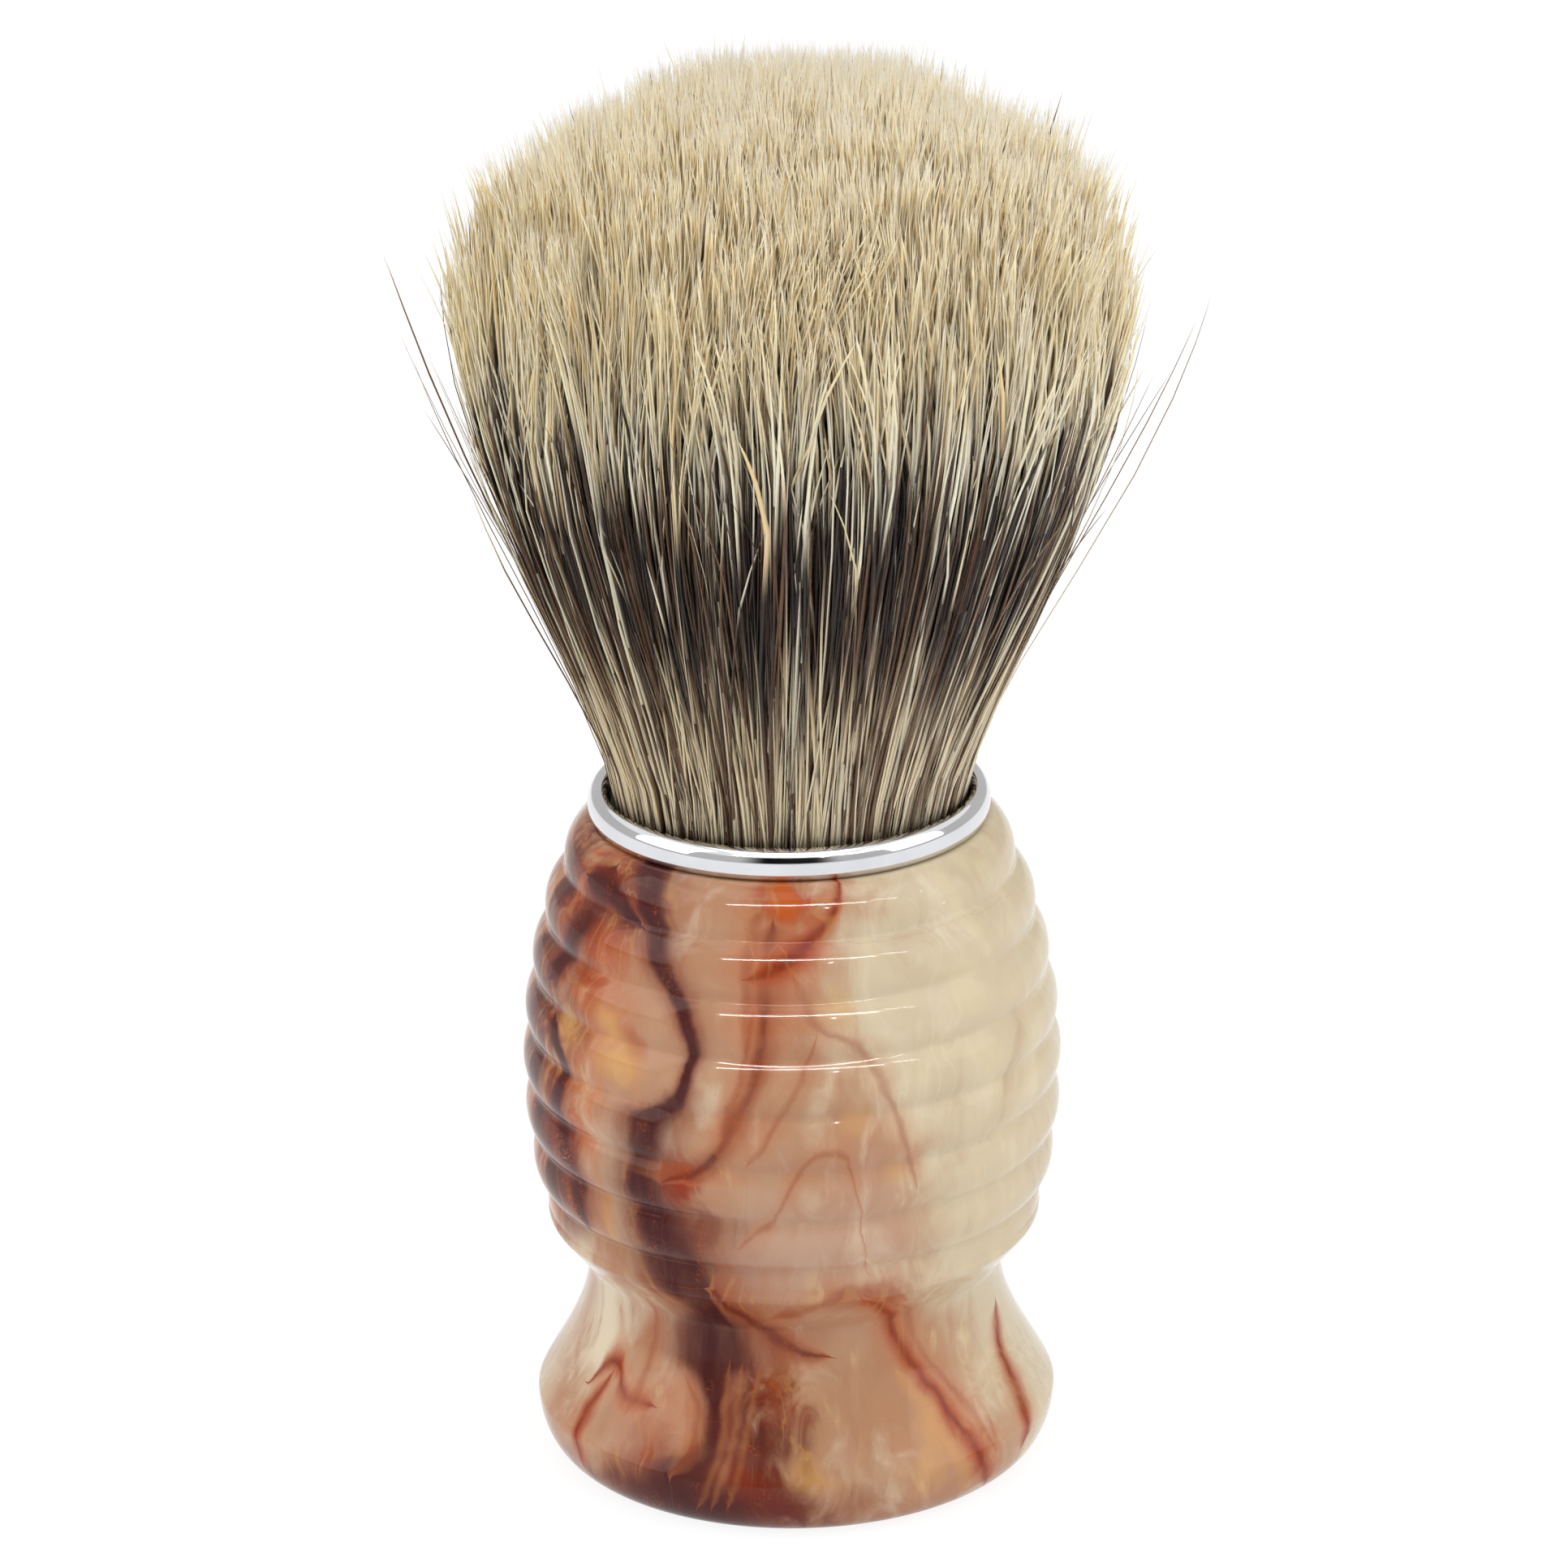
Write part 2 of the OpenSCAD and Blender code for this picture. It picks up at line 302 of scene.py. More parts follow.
# veins are drawn on the handle rolled out flat: angles in degrees, 0 at the front and growing to the right,
# heights in mm. Down: (height, angle, width in degrees). Round: (angle, height, width in mm).
resinMarbling = {
    "flatRadius": 16, "slowWobble": 1.0, "fineWobble": 0.4, "tornWobble": 0.5,
    "bend": 4, "draw": 0.3,  # of the pour: slow bends in mm, and its stretch along z
    "widest": 6.0, "tail": 1.3,  # of a vein, in mm
    "clouds": {
        # scale, detail, distortion and roughness of each noise
        "bends": (110, 2), "slowWay": (200, 2, 0.5), "fineWay": (800, 3), "torn": (420, 5, 0.8, 0.6),
        "slow": (85, 3, 1.2), "wisps": (330, 4, 0.6, 0.55), "haze": (130, 3, 1.0), "strokes": (700, 2, 0.4),
        "strokeSpots": (160, 2), "swirl": (150, 4, 1.6, 0.6), "curl": (90, 4, 1.4, 0.55),
        "filaments": (240, 2, 1.6, 0.5), "flakeDrifts": (300, 4, 1.2),
    },
    "windows": {
        # where a share begins and where it is full, then its least and greatest amount
        "rosy": (0.2, -0.18), "creamBack": (1.2, 1.8),
        "pearl": (0.5, 0.75, 0, 0.45), "shade": (0.46, 0.25, 0, 0.3),
        "strokes": (0.6, 0.72), "strokeSpots": (0.5, 0.65, 0, 0.4),
        "rich": (0.16, -0.16), "richEnd": (math.radians(-112), math.radians(-85), 0, 0.85),
        "back": (math.radians(100), math.radians(130)), "backLines": (-0.12, 0.1, 0.1, 1),
        "backRosy": (0, 0.16, 0, 0.75), "backPeach": (0.13, 0, 0, 0.5), "backThread": (0.045, 0, 0, 0.7),
        "backRust": (0.52, 0.62, 0, 0.6), "backOxblood": (0.55, 0.66, 0, 0.8),
        "backMaroon": (0.58, 0.7, 0, 0.95),
        "filaments": (0.05, 0.0), "filamentSpots": (-0.1, 0.15),
        "rustyBlue": (0.14, 0.06, 0, 0.25), "rustyRed": (0.1, 0.25), "paleBlue": (0.14, 0.3, 0, 0.22),
        "flakeGround": (0.16, 0.04, 0, 0.8), "flakeLuck": (0.6, 1), "flakeDrifts": (0.54, 0.72),
        "gloss": (0.3, 0.75, 0.05, 0.11),
    },
    # how far slow and torn noise shift a border, in radians
    "rosyStray": (0.7, 0.35), "backStray": (1.6, 0.8), "richTorn": 0.5, "richEndStray": 1.2,
    "rosyClouds": 0.7, "haze": (0.5, 0.68), "hazeShare": (-0.5, 0.6),
    "flakeScale": 8000, "dustTone": 0.35, "dustRough": 0.4, "marks": (120, 0.01), "bump": (0.12, 0.02),
    "surface": {"IOR": 1.5, "Specular IOR Level": 0.18, "Subsurface Weight": 0.12,
                "Subsurface Radius": (1.0, 0.6, 0.35), "Subsurface Scale": 0.8 * mm},
    # (height, angle) where the rosy ground turns to cream, and where the rich swirl of the left side begins
    "rosyEdge": [
        (0, 60), (8, 54), (12, 49), (15, 36), (18, 27), (22, 26), (26, 25), (30, 21), (33, 15), (35, 10),
        (37, 7), (40, 9), (43, 15), (45.5, 19),
    ],
    "richEdge": [
        (0, -95), (15, -88), (18, -68), (22, -60), (26, -53), (30, -50), (34, -54), (38, -48), (41, -39),
        (45.5, -36),
    ],
    "swirl": [
        (0.3, maroon), (0.4, oxblood), (0.47, rust), (0.53, peach), (0.58, rosy), (0.64, amber), (0.7, gold),
        (0.78, cream),
    ],
    "inks": {
        # passes of a vein: reach in widths, softness, strength, tone,
        # how far streaks break it up and how far it drifts aside
        "smoke": [
            (2.3, 0.95, 0.5, rust, 0.8, 2), (1.5, 0.8, 0.6, oxblood, 0.7, 1),
            (0.95, 0.6, 0.92, maroon, 0.3, 0)],
        "rust": [
            (4.2, 1, 0.5, peach, 0.7, 4), (2.2, 0.95, 0.6, rust, 0.6, 1.5),
            (0.8, 0.9, 0.6, oxblood, 0.5, 0)],
        "flame": [
            (3.6, 1, 0.6, peach, 0.7, 3), (1.8, 0.95, 0.8, orangeRed, 0.6, 1),
            (0.7, 0.9, 0.45, oxblood, 0.5, 0)],
        "thread": [(4.2, 1, 0.3, peach, 0.6, 4), (1.2, 1, 0.32, rust, 0.6, 0)],
        "ember": [(3, 1, 0.4, rust, 0.9, 1), (1.8, 1, 0.12, gold, 0.5, 0)],
        "gold": [(1.6, 1, 0.3, gold, 1.0, 0)],
    },
    "patches": [
        # angle, height, half width in degrees, half height in mm, tilt, tone, strength
        (5, 6.5, 22, 5.5, 0, tan, 0.8),
        (4, 21, 22, 5, 0, palePink, 0.75),
        (-2, 33, 9, 7, 0, tan, 0.35),
        (-62, 12, 10, 6, 0, paleCream, 0.8),
        (-74, 34, 13, 13, 0, maroon, 0.9),
        (-46, 36.5, 11, 6.5, 0, peach, 0.65),
        (-58, 36, 7, 5, 0, oxblood, 0.55),
        (-40, 33.2, 6, 1.6, 14, gold, 0.6),
        (-44, 35.6, 5, 1.0, -20, gold, 0.5),
        (-37, 34.8, 3, 1.4, 40, orangeRed, 0.4),
        (-50, 37.4, 4, 2.4, 10, orangeRed, 0.5),
        (-52, 40.7, 6, 1.2, 20, orangeRed, 0.55),
        (-59, 33.4, 4, 2, 0, gold, 0.6),
        (-41, 24, 4.5, 7, 0, cream, 0.5),
        (-50, 27, 3.5, 2, 30, amber, 0.5),
        (-45, 21.5, 2, 3.4, 10, gold, 0.5),
        (-62, 22.6, 9, 3.2, 0, maroon, 0.7),
        (-66, 18.5, 6, 1.2, 20, rust, 0.35),
        (-2, 44.3, 9, 1.7, 6, orangeRed, 0.9),
        (-2, 44.4, 5, 1.2, 0, amber, 0.9),
        (-1, 41.8, 9, 1.6, 14, peach, 0.6),
        (-24, 26, 5.5, 2.2, 0, rust, 0.95),
        (-24, 25.8, 3.6, 1.2, 0, orangeRed, 0.7),
        (-19, 22.2, 8, 1.2, 12, oxblood, 0.6),
        (14, 17.2, 9, 1.1, -4, rust, 0.6),
        (-1.5, 15.9, 3.5, 0.6, 10, rust, 0.5),
        (-8, 6, 10, 5.4, 0, oxblood, 0.9),
        (-13, 7, 5, 5, 0, maroon, 0.6),
        (-6, 2.2, 17, 1.9, 0, oxblood, 0.8),
        (-3, 9, 7, 1.6, -14, rust, 0.6),
        (2, 4.8, 4, 1.0, 12, gold, 0.35),
        (6, 4, 4, 0.7, -6, gold, 0.3),
        (-13, 4, 3.4, 1.0, 0, rust, 0.6),
        (-40, 5.5, 13, 4, 0, rust, 0.4),
        (-32, 1.6, 24, 1.6, 0, maroon, 0.7),
        (-35, 4.5, 2.4, 0.7, 0, amber, 0.8),
        (-33, 5.4, 4, 1.4, 0, rust, 0.6),
        (-58, 5.4, 2.6, 1.8, 0, rust, 0.6),
        (-34, 8, 8, 2.4, 0, peach, 0.4),
        (-47, 6, 5, 2, 0, rosy, 0.5),
        (30, 4.5, 4, 3.5, -20, gold, 0.4),
        (46, 4, 2.5, 1.8, -35, rust, 0.6),
        (10, 37.9, 6, 1.3, 0, gold, 0.3),
        (12, 30.2, 3.4, 1.0, 0, gold, 0.3),
        (22, 26.3, 2.4, 0.9, 30, gold, 0.3),
    ],
    "veins": [
        ("smoke", "down", [
            (0, -25, 32), (1.5, -26, 30), (3, -25, 22), (4.5, -25, 13), (5.8, -21.5, 7), (7, -20.3, 4.5),
            (8.5, -20.5, 5), (10, -22, 8), (10.8, -23, 14), (12, -23, 20), (13.5, -22, 19),
            (15.5, -20.5, 13), (17, -24, 15), (18.8, -28, 17), (20.5, -28.5, 13), (22.5, -31, 12),
            (25, -34, 9), (28, -32.8, 8), (30, -31.5, 9), (30.8, -27, 5), (32.2, -24, 3),
            (33.5, -22.7, 2.3), (34.8, -22.2, 2.5), (36.2, -22.7, 3), (37.5, -25, 4), (38.8, -28.5, 5),
            (40, -31.5, 5.5), (41.7, -34, 6.5), (43, -37, 8), (45.5, -41, 11)]),
        # dark smears left of it
        ("smoke", "down", [
            (20.5, -54, 4), (22.5, -55, 6), (25, -57, 6), (28, -60, 5), (31, -58, 4), (33, -62, 6)]),
        ("smoke", "down", [(37, -66, 6), (39.5, -62, 7), (42, -57, 8), (44, -55, 10)]),
        ("smoke", "round", [(-60, 43.6, 1.4), (-50, 43.4, 1.6), (-42, 42.4, 1)]),
        # the red vein of the front, its fork and its side threads
        ("rust", "down", [
            (26.4, -22.5, 4), (27, -19.5, 3.6), (27.9, -16.8, 3), (29, -14, 2.4), (30.8, -11.5, 2.2),
            (32.4, -9.2, 2.4), (34.2, -7.4, 2.6), (35.8, -6.6, 2.6), (37.6, -6.2, 2.8), (40, -5.4, 3.4),
            (42.5, -4.6, 3)]),
        ("flame", "round", [
            (-7, 40.2, 0.8), (-3, 40.6, 1), (1, 41.2, 1.1), (5, 42.1, 1.1), (9, 43.3, 1),
            (12.5, 44.8, 0.8)]),
        ("thread", "down", [
            (36, -10, 1.8), (39, -10.4, 2), (41, -10.4, 2.2), (43, -9.6, 2.4), (44.4, -8, 2.4)]),
        ("thread", "down", [(29, -14.5, 1), (31.5, -12.6, 1.2), (34, -10.5, 1), (37, -9, 0.9)]),
        ("thread", "down", [
            (28.2, -8, 1), (30.2, -4, 1.3), (31.8, -1, 1.2), (33.7, 2, 1), (35.5, 4, 0.8)]),
        # the edge of the cream, and the loop below it
        ("thread", "down", [
            (26, 25.5, 0.8), (28.5, 24, 1.2), (30, 22.5, 1.3), (31.3, 21.5, 1.4), (32.2, 19.5, 1.5),
            (33.8, 18, 1.5), (35.2, 15, 1.9), (36.2, 11, 2.3), (37, 5.5, 2.6), (38.2, 3, 1.8),
            (39.3, 2, 1.4)]),
        ("thread", "round", [
            (-9, 22.2, 0.3), (-5, 23, 0.45), (-2.5, 24.8, 0.55), (0, 26, 0.5), (2.5, 27.5, 0.5),
            (5, 28.3, 0.45), (7.5, 28.4, 0.45), (10.5, 28, 0.5), (12.5, 26.5, 0.6), (13.6, 25, 0.5)]),
        ("thread", "round", [
            (-3, 15.8, 0.6), (3, 16.4, 0.6), (9, 17.3, 0.8), (18, 17.6, 0.9), (24, 16.7, 0.6)]),
        # right of the foot
        ("flame", "down", [
            (1.8, 47, 2), (3.5, 44, 2.6), (5, 42, 2.8), (7, 39, 2.6), (9, 35.5, 2.6), (10.5, 32, 2.8),
            (11.5, 30, 2.8), (13.5, 27, 2.6), (14.8, 25, 2.4), (16.2, 20, 2.4)]),
        ("thread", "down", [
            (4.6, 48, 1.2), (5.5, 47, 1.6), (7, 45, 1.8), (8.5, 42, 1.8), (11, 36, 1.8), (13, 33, 1.8),
            (15, 29, 1.6), (16.5, 22, 1.6)]),
        ("gold", "down", [(2, 41, 1.6), (4, 38, 2), (7, 33.5, 2.2), (9.5, 29, 2)]),
        ("flame", "down", [(3.5, 61.5, 2), (4.5, 63, 2.2), (6.5, 64.5, 2.6), (9, 66, 2.4), (10.5, 69, 2)]),
        # left of the foot
        ("flame", "round", [
            (-59, 8.4, 0.6), (-56, 9.2, 0.8), (-53, 9.3, 0.8), (-50, 8.2, 0.7), (-45, 7.6, 0.5),
            (-41, 7.6, 0.4)]),
        ("thread", "down", [(7.6, -44, 1.4), (9, -43, 1.6), (12, -42, 1.6), (14.5, -41, 1.4)]),
        ("flame", "down", [(2.6, -57, 1.4), (4.4, -58.5, 1.8), (6.2, -58, 1.6), (7.6, -56, 1.4)]),
        # front of the foot
        ("rust", "round", [
            (-16, 16.2, 1.2), (-10, 14.3, 1.2), (-5, 13.1, 1), (0, 12.5, 0.6), (7, 12, 0.3)]),
        ("ember", "down", [
            (2.6, -21.5, 0.7), (4, -19.8, 0.9), (6, -18.6, 0.9), (8, -18, 0.9), (10.5, -18.4, 0.7)]),
        ("ember", "down", [
            (2.8, -18.5, 0.6), (4.4, -16.8, 0.8), (6.4, -15.6, 0.8), (8.4, -15, 0.8), (10.6, -15, 0.6)]),
        ("ember", "down", [
            (3, -15, 0.6), (5, -13.4, 0.8), (7, -12.2, 0.9), (8.8, -11.4, 0.8), (10.4, -10.6, 0.7)]),
        ("thread", "down", [(4.6, -27, 1), (6, -25, 1.4), (8, -25, 1.4), (9.3, -28, 1)]),
    ],
}


def curveOf(tree, value, points):
    node = lay(tree, "FloatCurve", {"Value": value})
    line = node.mapping.curves[0]
    for number, (x, y) in enumerate(points):
        if number < 2:
            line.points[number].location = (x, y)
        else:
            line.points.new(x, y)
    for point in line.points:
        point.handle_type = "AUTO_CLAMPED"
    node.mapping.update()
    return node.outputs[0]


def edgeBy(tree, height, points):
    # angle in radians that follows the height
    tall = handleTurning["height"]
    share = calc(tree, "MULTIPLY", height, 1 / tall)
    curve = curveOf(tree, share, [(z / tall, angle / 360 + 0.5) for z, angle in points])
    return calc(tree, "MULTIPLY_ADD", curve, math.tau, -math.pi)


def veinGroup(finely=1.3, slant=0.12):
    # how many half widths a place lies aside of a vein's centre, and streaks that run along the vein
    names = ("Along", "Across", "Centre", "Half width", "Seed")
    group, given, made = newGroup("veinDistance", names, ["Off", "Streaks"])
    off = calc(group, "SUBTRACT", given["Across"], given["Centre"])
    drift = calc(group, "MULTIPLY_ADD", given["Along"], slant, given["Seed"])
    where = {"W": calc(group, "MULTIPLY_ADD", off, finely, drift), "Scale": 1, "Detail": 2}
    lines = lay(group, "TexNoise", where, noise_dimensions="1D")
    feed(group, made["Off"], calc(group, "DIVIDE", off, given["Half width"]))
    feed(group, made["Streaks"], centred(group, lines.outputs[0]))
    return group


def inkGroup(streakShare=0.6, thinning=1.2):
    # one pass of ink along a vein: it drifts aside, is broken up by noise and thins out in places
    names = ("Off", "Streaks", "Torn", "Slow", "Reach", "Soft", "Strength", "Broken", "Drift")
    group, given, made = newGroup("inkPass", names, ["Share"])
    streaks = calc(group, "DIVIDE", calc(group, "MULTIPLY", given["Streaks"], streakShare), given["Reach"])
    noise = calc(group, "MULTIPLY", calc(group, "ADD", streaks, given["Torn"]), given["Broken"])
    far = calc(group, "ABSOLUTE", calc(group, "MULTIPLY_ADD", given["Slow"], given["Drift"], given["Off"]))
    ragged = calc(group, "ADD", calc(group, "DIVIDE", far, given["Reach"]), noise)
    outer = calc(group, "ADD", 1, given["Soft"])
    inner = calc(group, "SUBTRACT", 1, given["Soft"])
    strength = calc(group, "MULTIPLY", given["Strength"],
                    calc(group, "MULTIPLY_ADD", given["Torn"], thinning, 1))
    feed(group, made["Share"], ease(group, ragged, outer, inner, 0, strength))
    return group


def patchGroup(tearing=3.0, outer=1.5, inner=0.1):
    # a soft tilted oval on the rolled-out handle, broken up by noise
    names = ("Arc", "Height", "Centre arc", "Centre height", "Half width", "Half height", "Cos", "Sin",
             "Torn", "Strength")
    group, given, made = newGroup("softPatch", names, ["Share"])
    x = calc(group, "SUBTRACT", given["Arc"], given["Centre arc"])
    y = calc(group, "SUBTRACT", given["Height"], given["Centre height"])
    along = calc(group, "MULTIPLY_ADD", x, given["Cos"], calc(group, "MULTIPLY", y, given["Sin"]))
    aside = calc(group, "SUBTRACT", calc(group, "MULTIPLY", y, given["Cos"]),
                 calc(group, "MULTIPLY", x, given["Sin"]))
    u = calc(group, "DIVIDE", along, given["Half width"])
    v = calc(group, "DIVIDE", aside, given["Half height"])
    reach = calc(group, "SQRT", calc(group, "MULTIPLY_ADD", u, u, calc(group, "MULTIPLY", v, v)))
    ragged = calc(group, "MULTIPLY_ADD", given["Torn"], tearing, reach)
    feed(group, made["Share"], ease(group, ragged, outer, inner, 0, given["Strength"]))
    return group


def layVein(tree, flow, way, points, look, group):
    # a vein's centre and width are two curves along its way
    degree = math.radians(1) * look["flatRadius"]  # mm of arc
    # span in mm, and where its zero lies in the span
    spans = {"arc": (math.tau * look["flatRadius"], 0.5), "height": (handleTurning["height"], 0)}
    arcSpan, tall, widest = spans["arc"][0], spans["height"][0], look["widest"]
    if way == "down":
        along, across = "height", "arc"
        stops = [(h / tall, a * degree / arcSpan + 0.5, w * degree / 2) for h, a, w in points]
    else:
        along, across = "arc", "height"
        stops = [(a * degree / arcSpan + 0.5, h / tall, w / 2) for a, h, w in points]
    alongSpan, alongShift = spans[along]
    acrossSpan, acrossShift = spans[across]
    tail = look["tail"] / alongSpan
    centre = [(x, y) for x, y, w in stops]
    width = [(x, w / widest) for x, y, w in stops]
    first, last = stops[0], stops[-1]
    # past its ends a vein runs straight on and thins out
    if first[0] > tail:
        slope = (stops[1][1] - first[1]) / (stops[1][0] - first[0])
        centre = [(0, first[1] - slope * tail), (first[0] - tail, first[1] - slope * tail)] + centre
        width = [(0, 0), (first[0] - tail, 0)] + width
    if last[0] < 1 - tail:
        slope = (last[1] - stops[-2][1]) / (last[0] - stops[-2][0])
        centre += [(last[0] + tail, last[1] + slope * tail), (1, last[1] + slope * tail)]
        width += [(last[0] + tail, 0), (1, 0)]
    share = calc(tree, "MULTIPLY_ADD", flow[along], 1 / alongSpan, alongShift)
    middle = calc(tree, "MULTIPLY_ADD", curveOf(tree, share, centre), acrossSpan, -acrossShift * acrossSpan)
    half = calc(tree, "MULTIPLY_ADD", curveOf(tree, share, width), widest, 0.001)
    sockets = {"Along": flow[along], "Across": flow[across], "Centre": middle, "Half width": half,
               "Seed": sum(first) * 40}
    return lay(tree, "Group", sockets, node_tree=group).outputs


def resinMaterial(look):
    material, tree, surface = newMaterial("marbledResin")
    place = objectPlace(tree)
    axes = lay(tree, "SeparateXYZ", {0: place}).outputs
    turn = calc(tree, "ARCTAN2", axes["X"], calc(tree, "MULTIPLY", axes["Y"], -1))

    def noise(name, where):
        return cloud(tree, where, *look["clouds"][name])

    def window(name, value):
        return ease(tree, value, *look["windows"][name])

    def times(first, second):
        return calc(tree, "MULTIPLY", first, second)

    # the pour runs down: one place stretched along z, with slow bends
    bends = channels(tree, noise("bends", place)[1])
    bent = [calc(tree, "MULTIPLY_ADD", centred(tree, bends[i]), look["bend"] * mm, axes[i]) for i in range(3)]
    stretched = {0: bent[0], 1: bent[1], 2: times(bent[2], look["draw"])}
    drawn = lay(tree, "CombineXYZ", stretched).outputs[0]
    # rolled-out place in mm, with a slow and a fine wobble so that no line is ruled
    slowWay = channels(tree, noise("slowWay", place)[1])
    fineWay = channels(tree, noise("fineWay", place)[1])
    arc = times(turn, look["flatRadius"])
    height = times(axes["Z"], 1 / mm)
    for way, size in ((slowWay, look["slowWobble"]), (fineWay, look["fineWobble"])):
        arc = calc(tree, "MULTIPLY_ADD", centred(tree, way[0]), size, arc)
        height = calc(tree, "MULTIPLY_ADD", centred(tree, way[1]), size, height)
    torn = centred(tree, noise("torn", drawn)[0])
    arc = calc(tree, "MULTIPLY_ADD", torn, look["tornWobble"], arc)
    height = calc(tree, "MULTIPLY_ADD", torn, look["tornWobble"], height)
    flow = {"arc": arc, "height": height}

    # ground: cream to the right, rosy in front, with slow clouds and faint pearly strokes
    slow = centred(tree, noise("slow", place)[0])
    wisps = noise("wisps", drawn)[0]

    def strayed(angle, slowly, finely):
        # a border that wanders
        return calc(tree, "MULTIPLY_ADD", torn, finely, calc(tree, "MULTIPLY_ADD", slow, slowly, angle))

    edge = calc(tree, "SUBTRACT", turn, edgeBy(tree, height, look["rosyEdge"]))
    rosyShare = window("rosy", strayed(edge, *look["rosyStray"]))
    creamBack = window("creamBack", calc(tree, "ABSOLUTE", turn))
    rosyFront = calc(tree, "SUBTRACT", rosyShare, creamBack)
    rosyShare = calc(tree, "MULTIPLY_ADD", slow, look["rosyClouds"], rosyFront, clamp=True)
    ground = mixTone(tree, rosyShare, cream, rosy)
    haze = noise("haze", place)[0]
    hazeShare = calc(tree, "MULTIPLY_ADD", rosyShare, *look["hazeShare"])  # most on the cream
    ground = mixTone(tree, ease(tree, haze, *look["haze"], 0, hazeShare), ground, milky)
    ground = mixTone(tree, window("pearl", wisps), ground, paleCream)
    ground = mixTone(tree, window("shade", wisps), ground, tan)
    strokes = window("strokes", noise("strokes", drawn)[0])
    strokes = times(strokes, window("strokeSpots", noise("strokeSpots", place)[0]))
    ground = mixTone(tree, strokes, ground, straw)

    # the rich left side: swirled dark, rust and gold
    swirlTones = lay(tree, "ValToRGB", {0: noise("swirl", drawn)[0]})
    for number, (at, colour) in enumerate(look["swirl"]):
        elements = swirlTones.color_ramp.elements
        stop = elements[number] if number < 2 else elements.new(at)
        stop.position, stop.color = at, colour
    richEdge = calc(tree, "SUBTRACT", turn, edgeBy(tree, height, look["richEdge"]))
    rich = window("rich", calc(tree, "MULTIPLY_ADD", torn, look["richTorn"], richEdge))
    richEnd = calc(tree, "MULTIPLY_ADD", slow, look["richEndStray"], turn)
    rich = times(rich, window("richEnd", richEnd))
    ground = mixTone(tree, rich, ground, swirlTones.outputs[0])

    # patches: tilted soft ovals on the rolled-out handle, broken up along the pour
    degree = math.radians(1) * look["flatRadius"]
    softPatch = patchGroup()
    for angle, up, halfAngle, halfHeight, tilt, colour, amount in look["patches"]:
        lean = math.radians(tilt)
        patch = lay(tree, "Group", {
            "Arc": arc, "Height": height, "Centre arc": angle * degree, "Centre height": up,
            "Half width": halfAngle * degree, "Half height": halfHeight, "Cos": math.cos(lean),
            "Sin": math.sin(lean), "Torn": torn, "Strength": amount}, node_tree=softPatch)
        ground = mixTone(tree, patch.outputs[0], ground, colour)

    # general marbling on the back, where the rolled-out drawing ends
    back = window("back", strayed(calc(tree, "ABSOLUTE", turn), *look["backStray"]))
    curl = noise("curl", drawn)[0]
    fold = calc(tree, "ABSOLUTE", centred(tree, curl))
    drawnPart = times(back, window("backLines", slow))  # lines come and go
    backTones = [
        (window("backRosy", slow), rosy, back), (window("backPeach", fold), peach, back),
        (window("backThread", fold), rust, drawnPart), (window("backRust", curl), rust, back),
        (window("backOxblood", curl), oxblood, back), (window("backMaroon", curl), maroon, back),
    ]
    for share, colour, part in backTones:
        ground = mixTone(tree, times(share, part), ground, colour)

    veinDistance, inkPass = veinGroup(), inkGroup()
    for ink, way, points in look["veins"]:
        vein = layVein(tree, flow, way, points, look, veinDistance)
        for reach, soft, strength, colour, broken, drift in look["inks"][ink]:
            inked = lay(tree, "Group", {
                "Off": vein["Off"], "Streaks": vein["Streaks"], "Torn": torn, "Slow": slow, "Reach": reach,
                "Soft": soft, "Strength": strength, "Broken": broken, "Drift": drift}, node_tree=inkPass)
            ground = mixTone(tree, inked.outputs[0], ground, colour)

    # fine filaments: golden in the rusty parts, milky in the pale ones
    parts = channels(tree, ground)
    red, blue = parts[0], parts[2]
    curls = calc(tree, "ABSOLUTE", centred(tree, noise("filaments", drawn)[0]))
    lines = window("filaments", curls)
    lines = times(lines, window("filamentSpots", slow))
    rusty = window("rustyBlue", blue)
    rusty = times(rusty, window("rustyRed", red))
    ground = mixTone(tree, times(lines, rusty), ground, gold)
    ground = mixTone(tree, times(lines, window("paleBlue", blue)), ground, paleCream)

    # fine gold flake in the orange and dark parts
    flakeGround = window("flakeGround", channels(tree, ground)[2])
    flakeCells = cells(tree, place, look["flakeScale"])
    flakeLuck = channels(tree, flakeCells["Color"])[0]
    drifts = noise("flakeDrifts", drawn)[0]
    flakes = window("flakeLuck", flakeLuck)
    flakes = times(flakes, window("flakeDrifts", drifts))
    ground = mixTone(tree, times(flakes, flakeGround), ground, amber)

    marks = addMarks(tree, *look["marks"])
    ground = mixTone(tree, times(marks["Dust"], look["dustTone"]), ground, paleDust)
    feed(tree, surface.inputs["Base Color"], ground)
    gloss = window("gloss", marks["Smudge"])
    gloss = calc(tree, "MULTIPLY_ADD", marks["Dust"], look["dustRough"], gloss)
    feed(tree, surface.inputs["Roughness"], gloss)
    setPlain(surface, look["surface"])
    addBump(tree, surface, *look["bump"], marks["Height"])
    return material


dress(handlePiece, resinMaterial(resinMarbling), "marbled_resin", "handle")
print("resin marbled")

# bright collar ring: a rounded bead on a sleeve that stands in the handle
collarShape = {
    "innerR": 12, "beadWidth": 1.5, "sleeveWall": 0.6, "fullness": 0.8,
    "sleeveZ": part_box("collar_ring")[0].z / mm, "beadZ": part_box("handle")[1].z / mm,
    "topZ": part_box("collar_ring")[1].z / mm, "turns": 256, "roundSteps": 28,
    "bright": tone(224, 225, 228), "dull": tone(206, 207, 212),
    "marks": (160, 0.02), "bump": (0.1, 0.01),
    "dulling": (0.35, 0.7, 0, 0.5), "gloss": (0.35, 0.8, 0.04, 0.14),
}


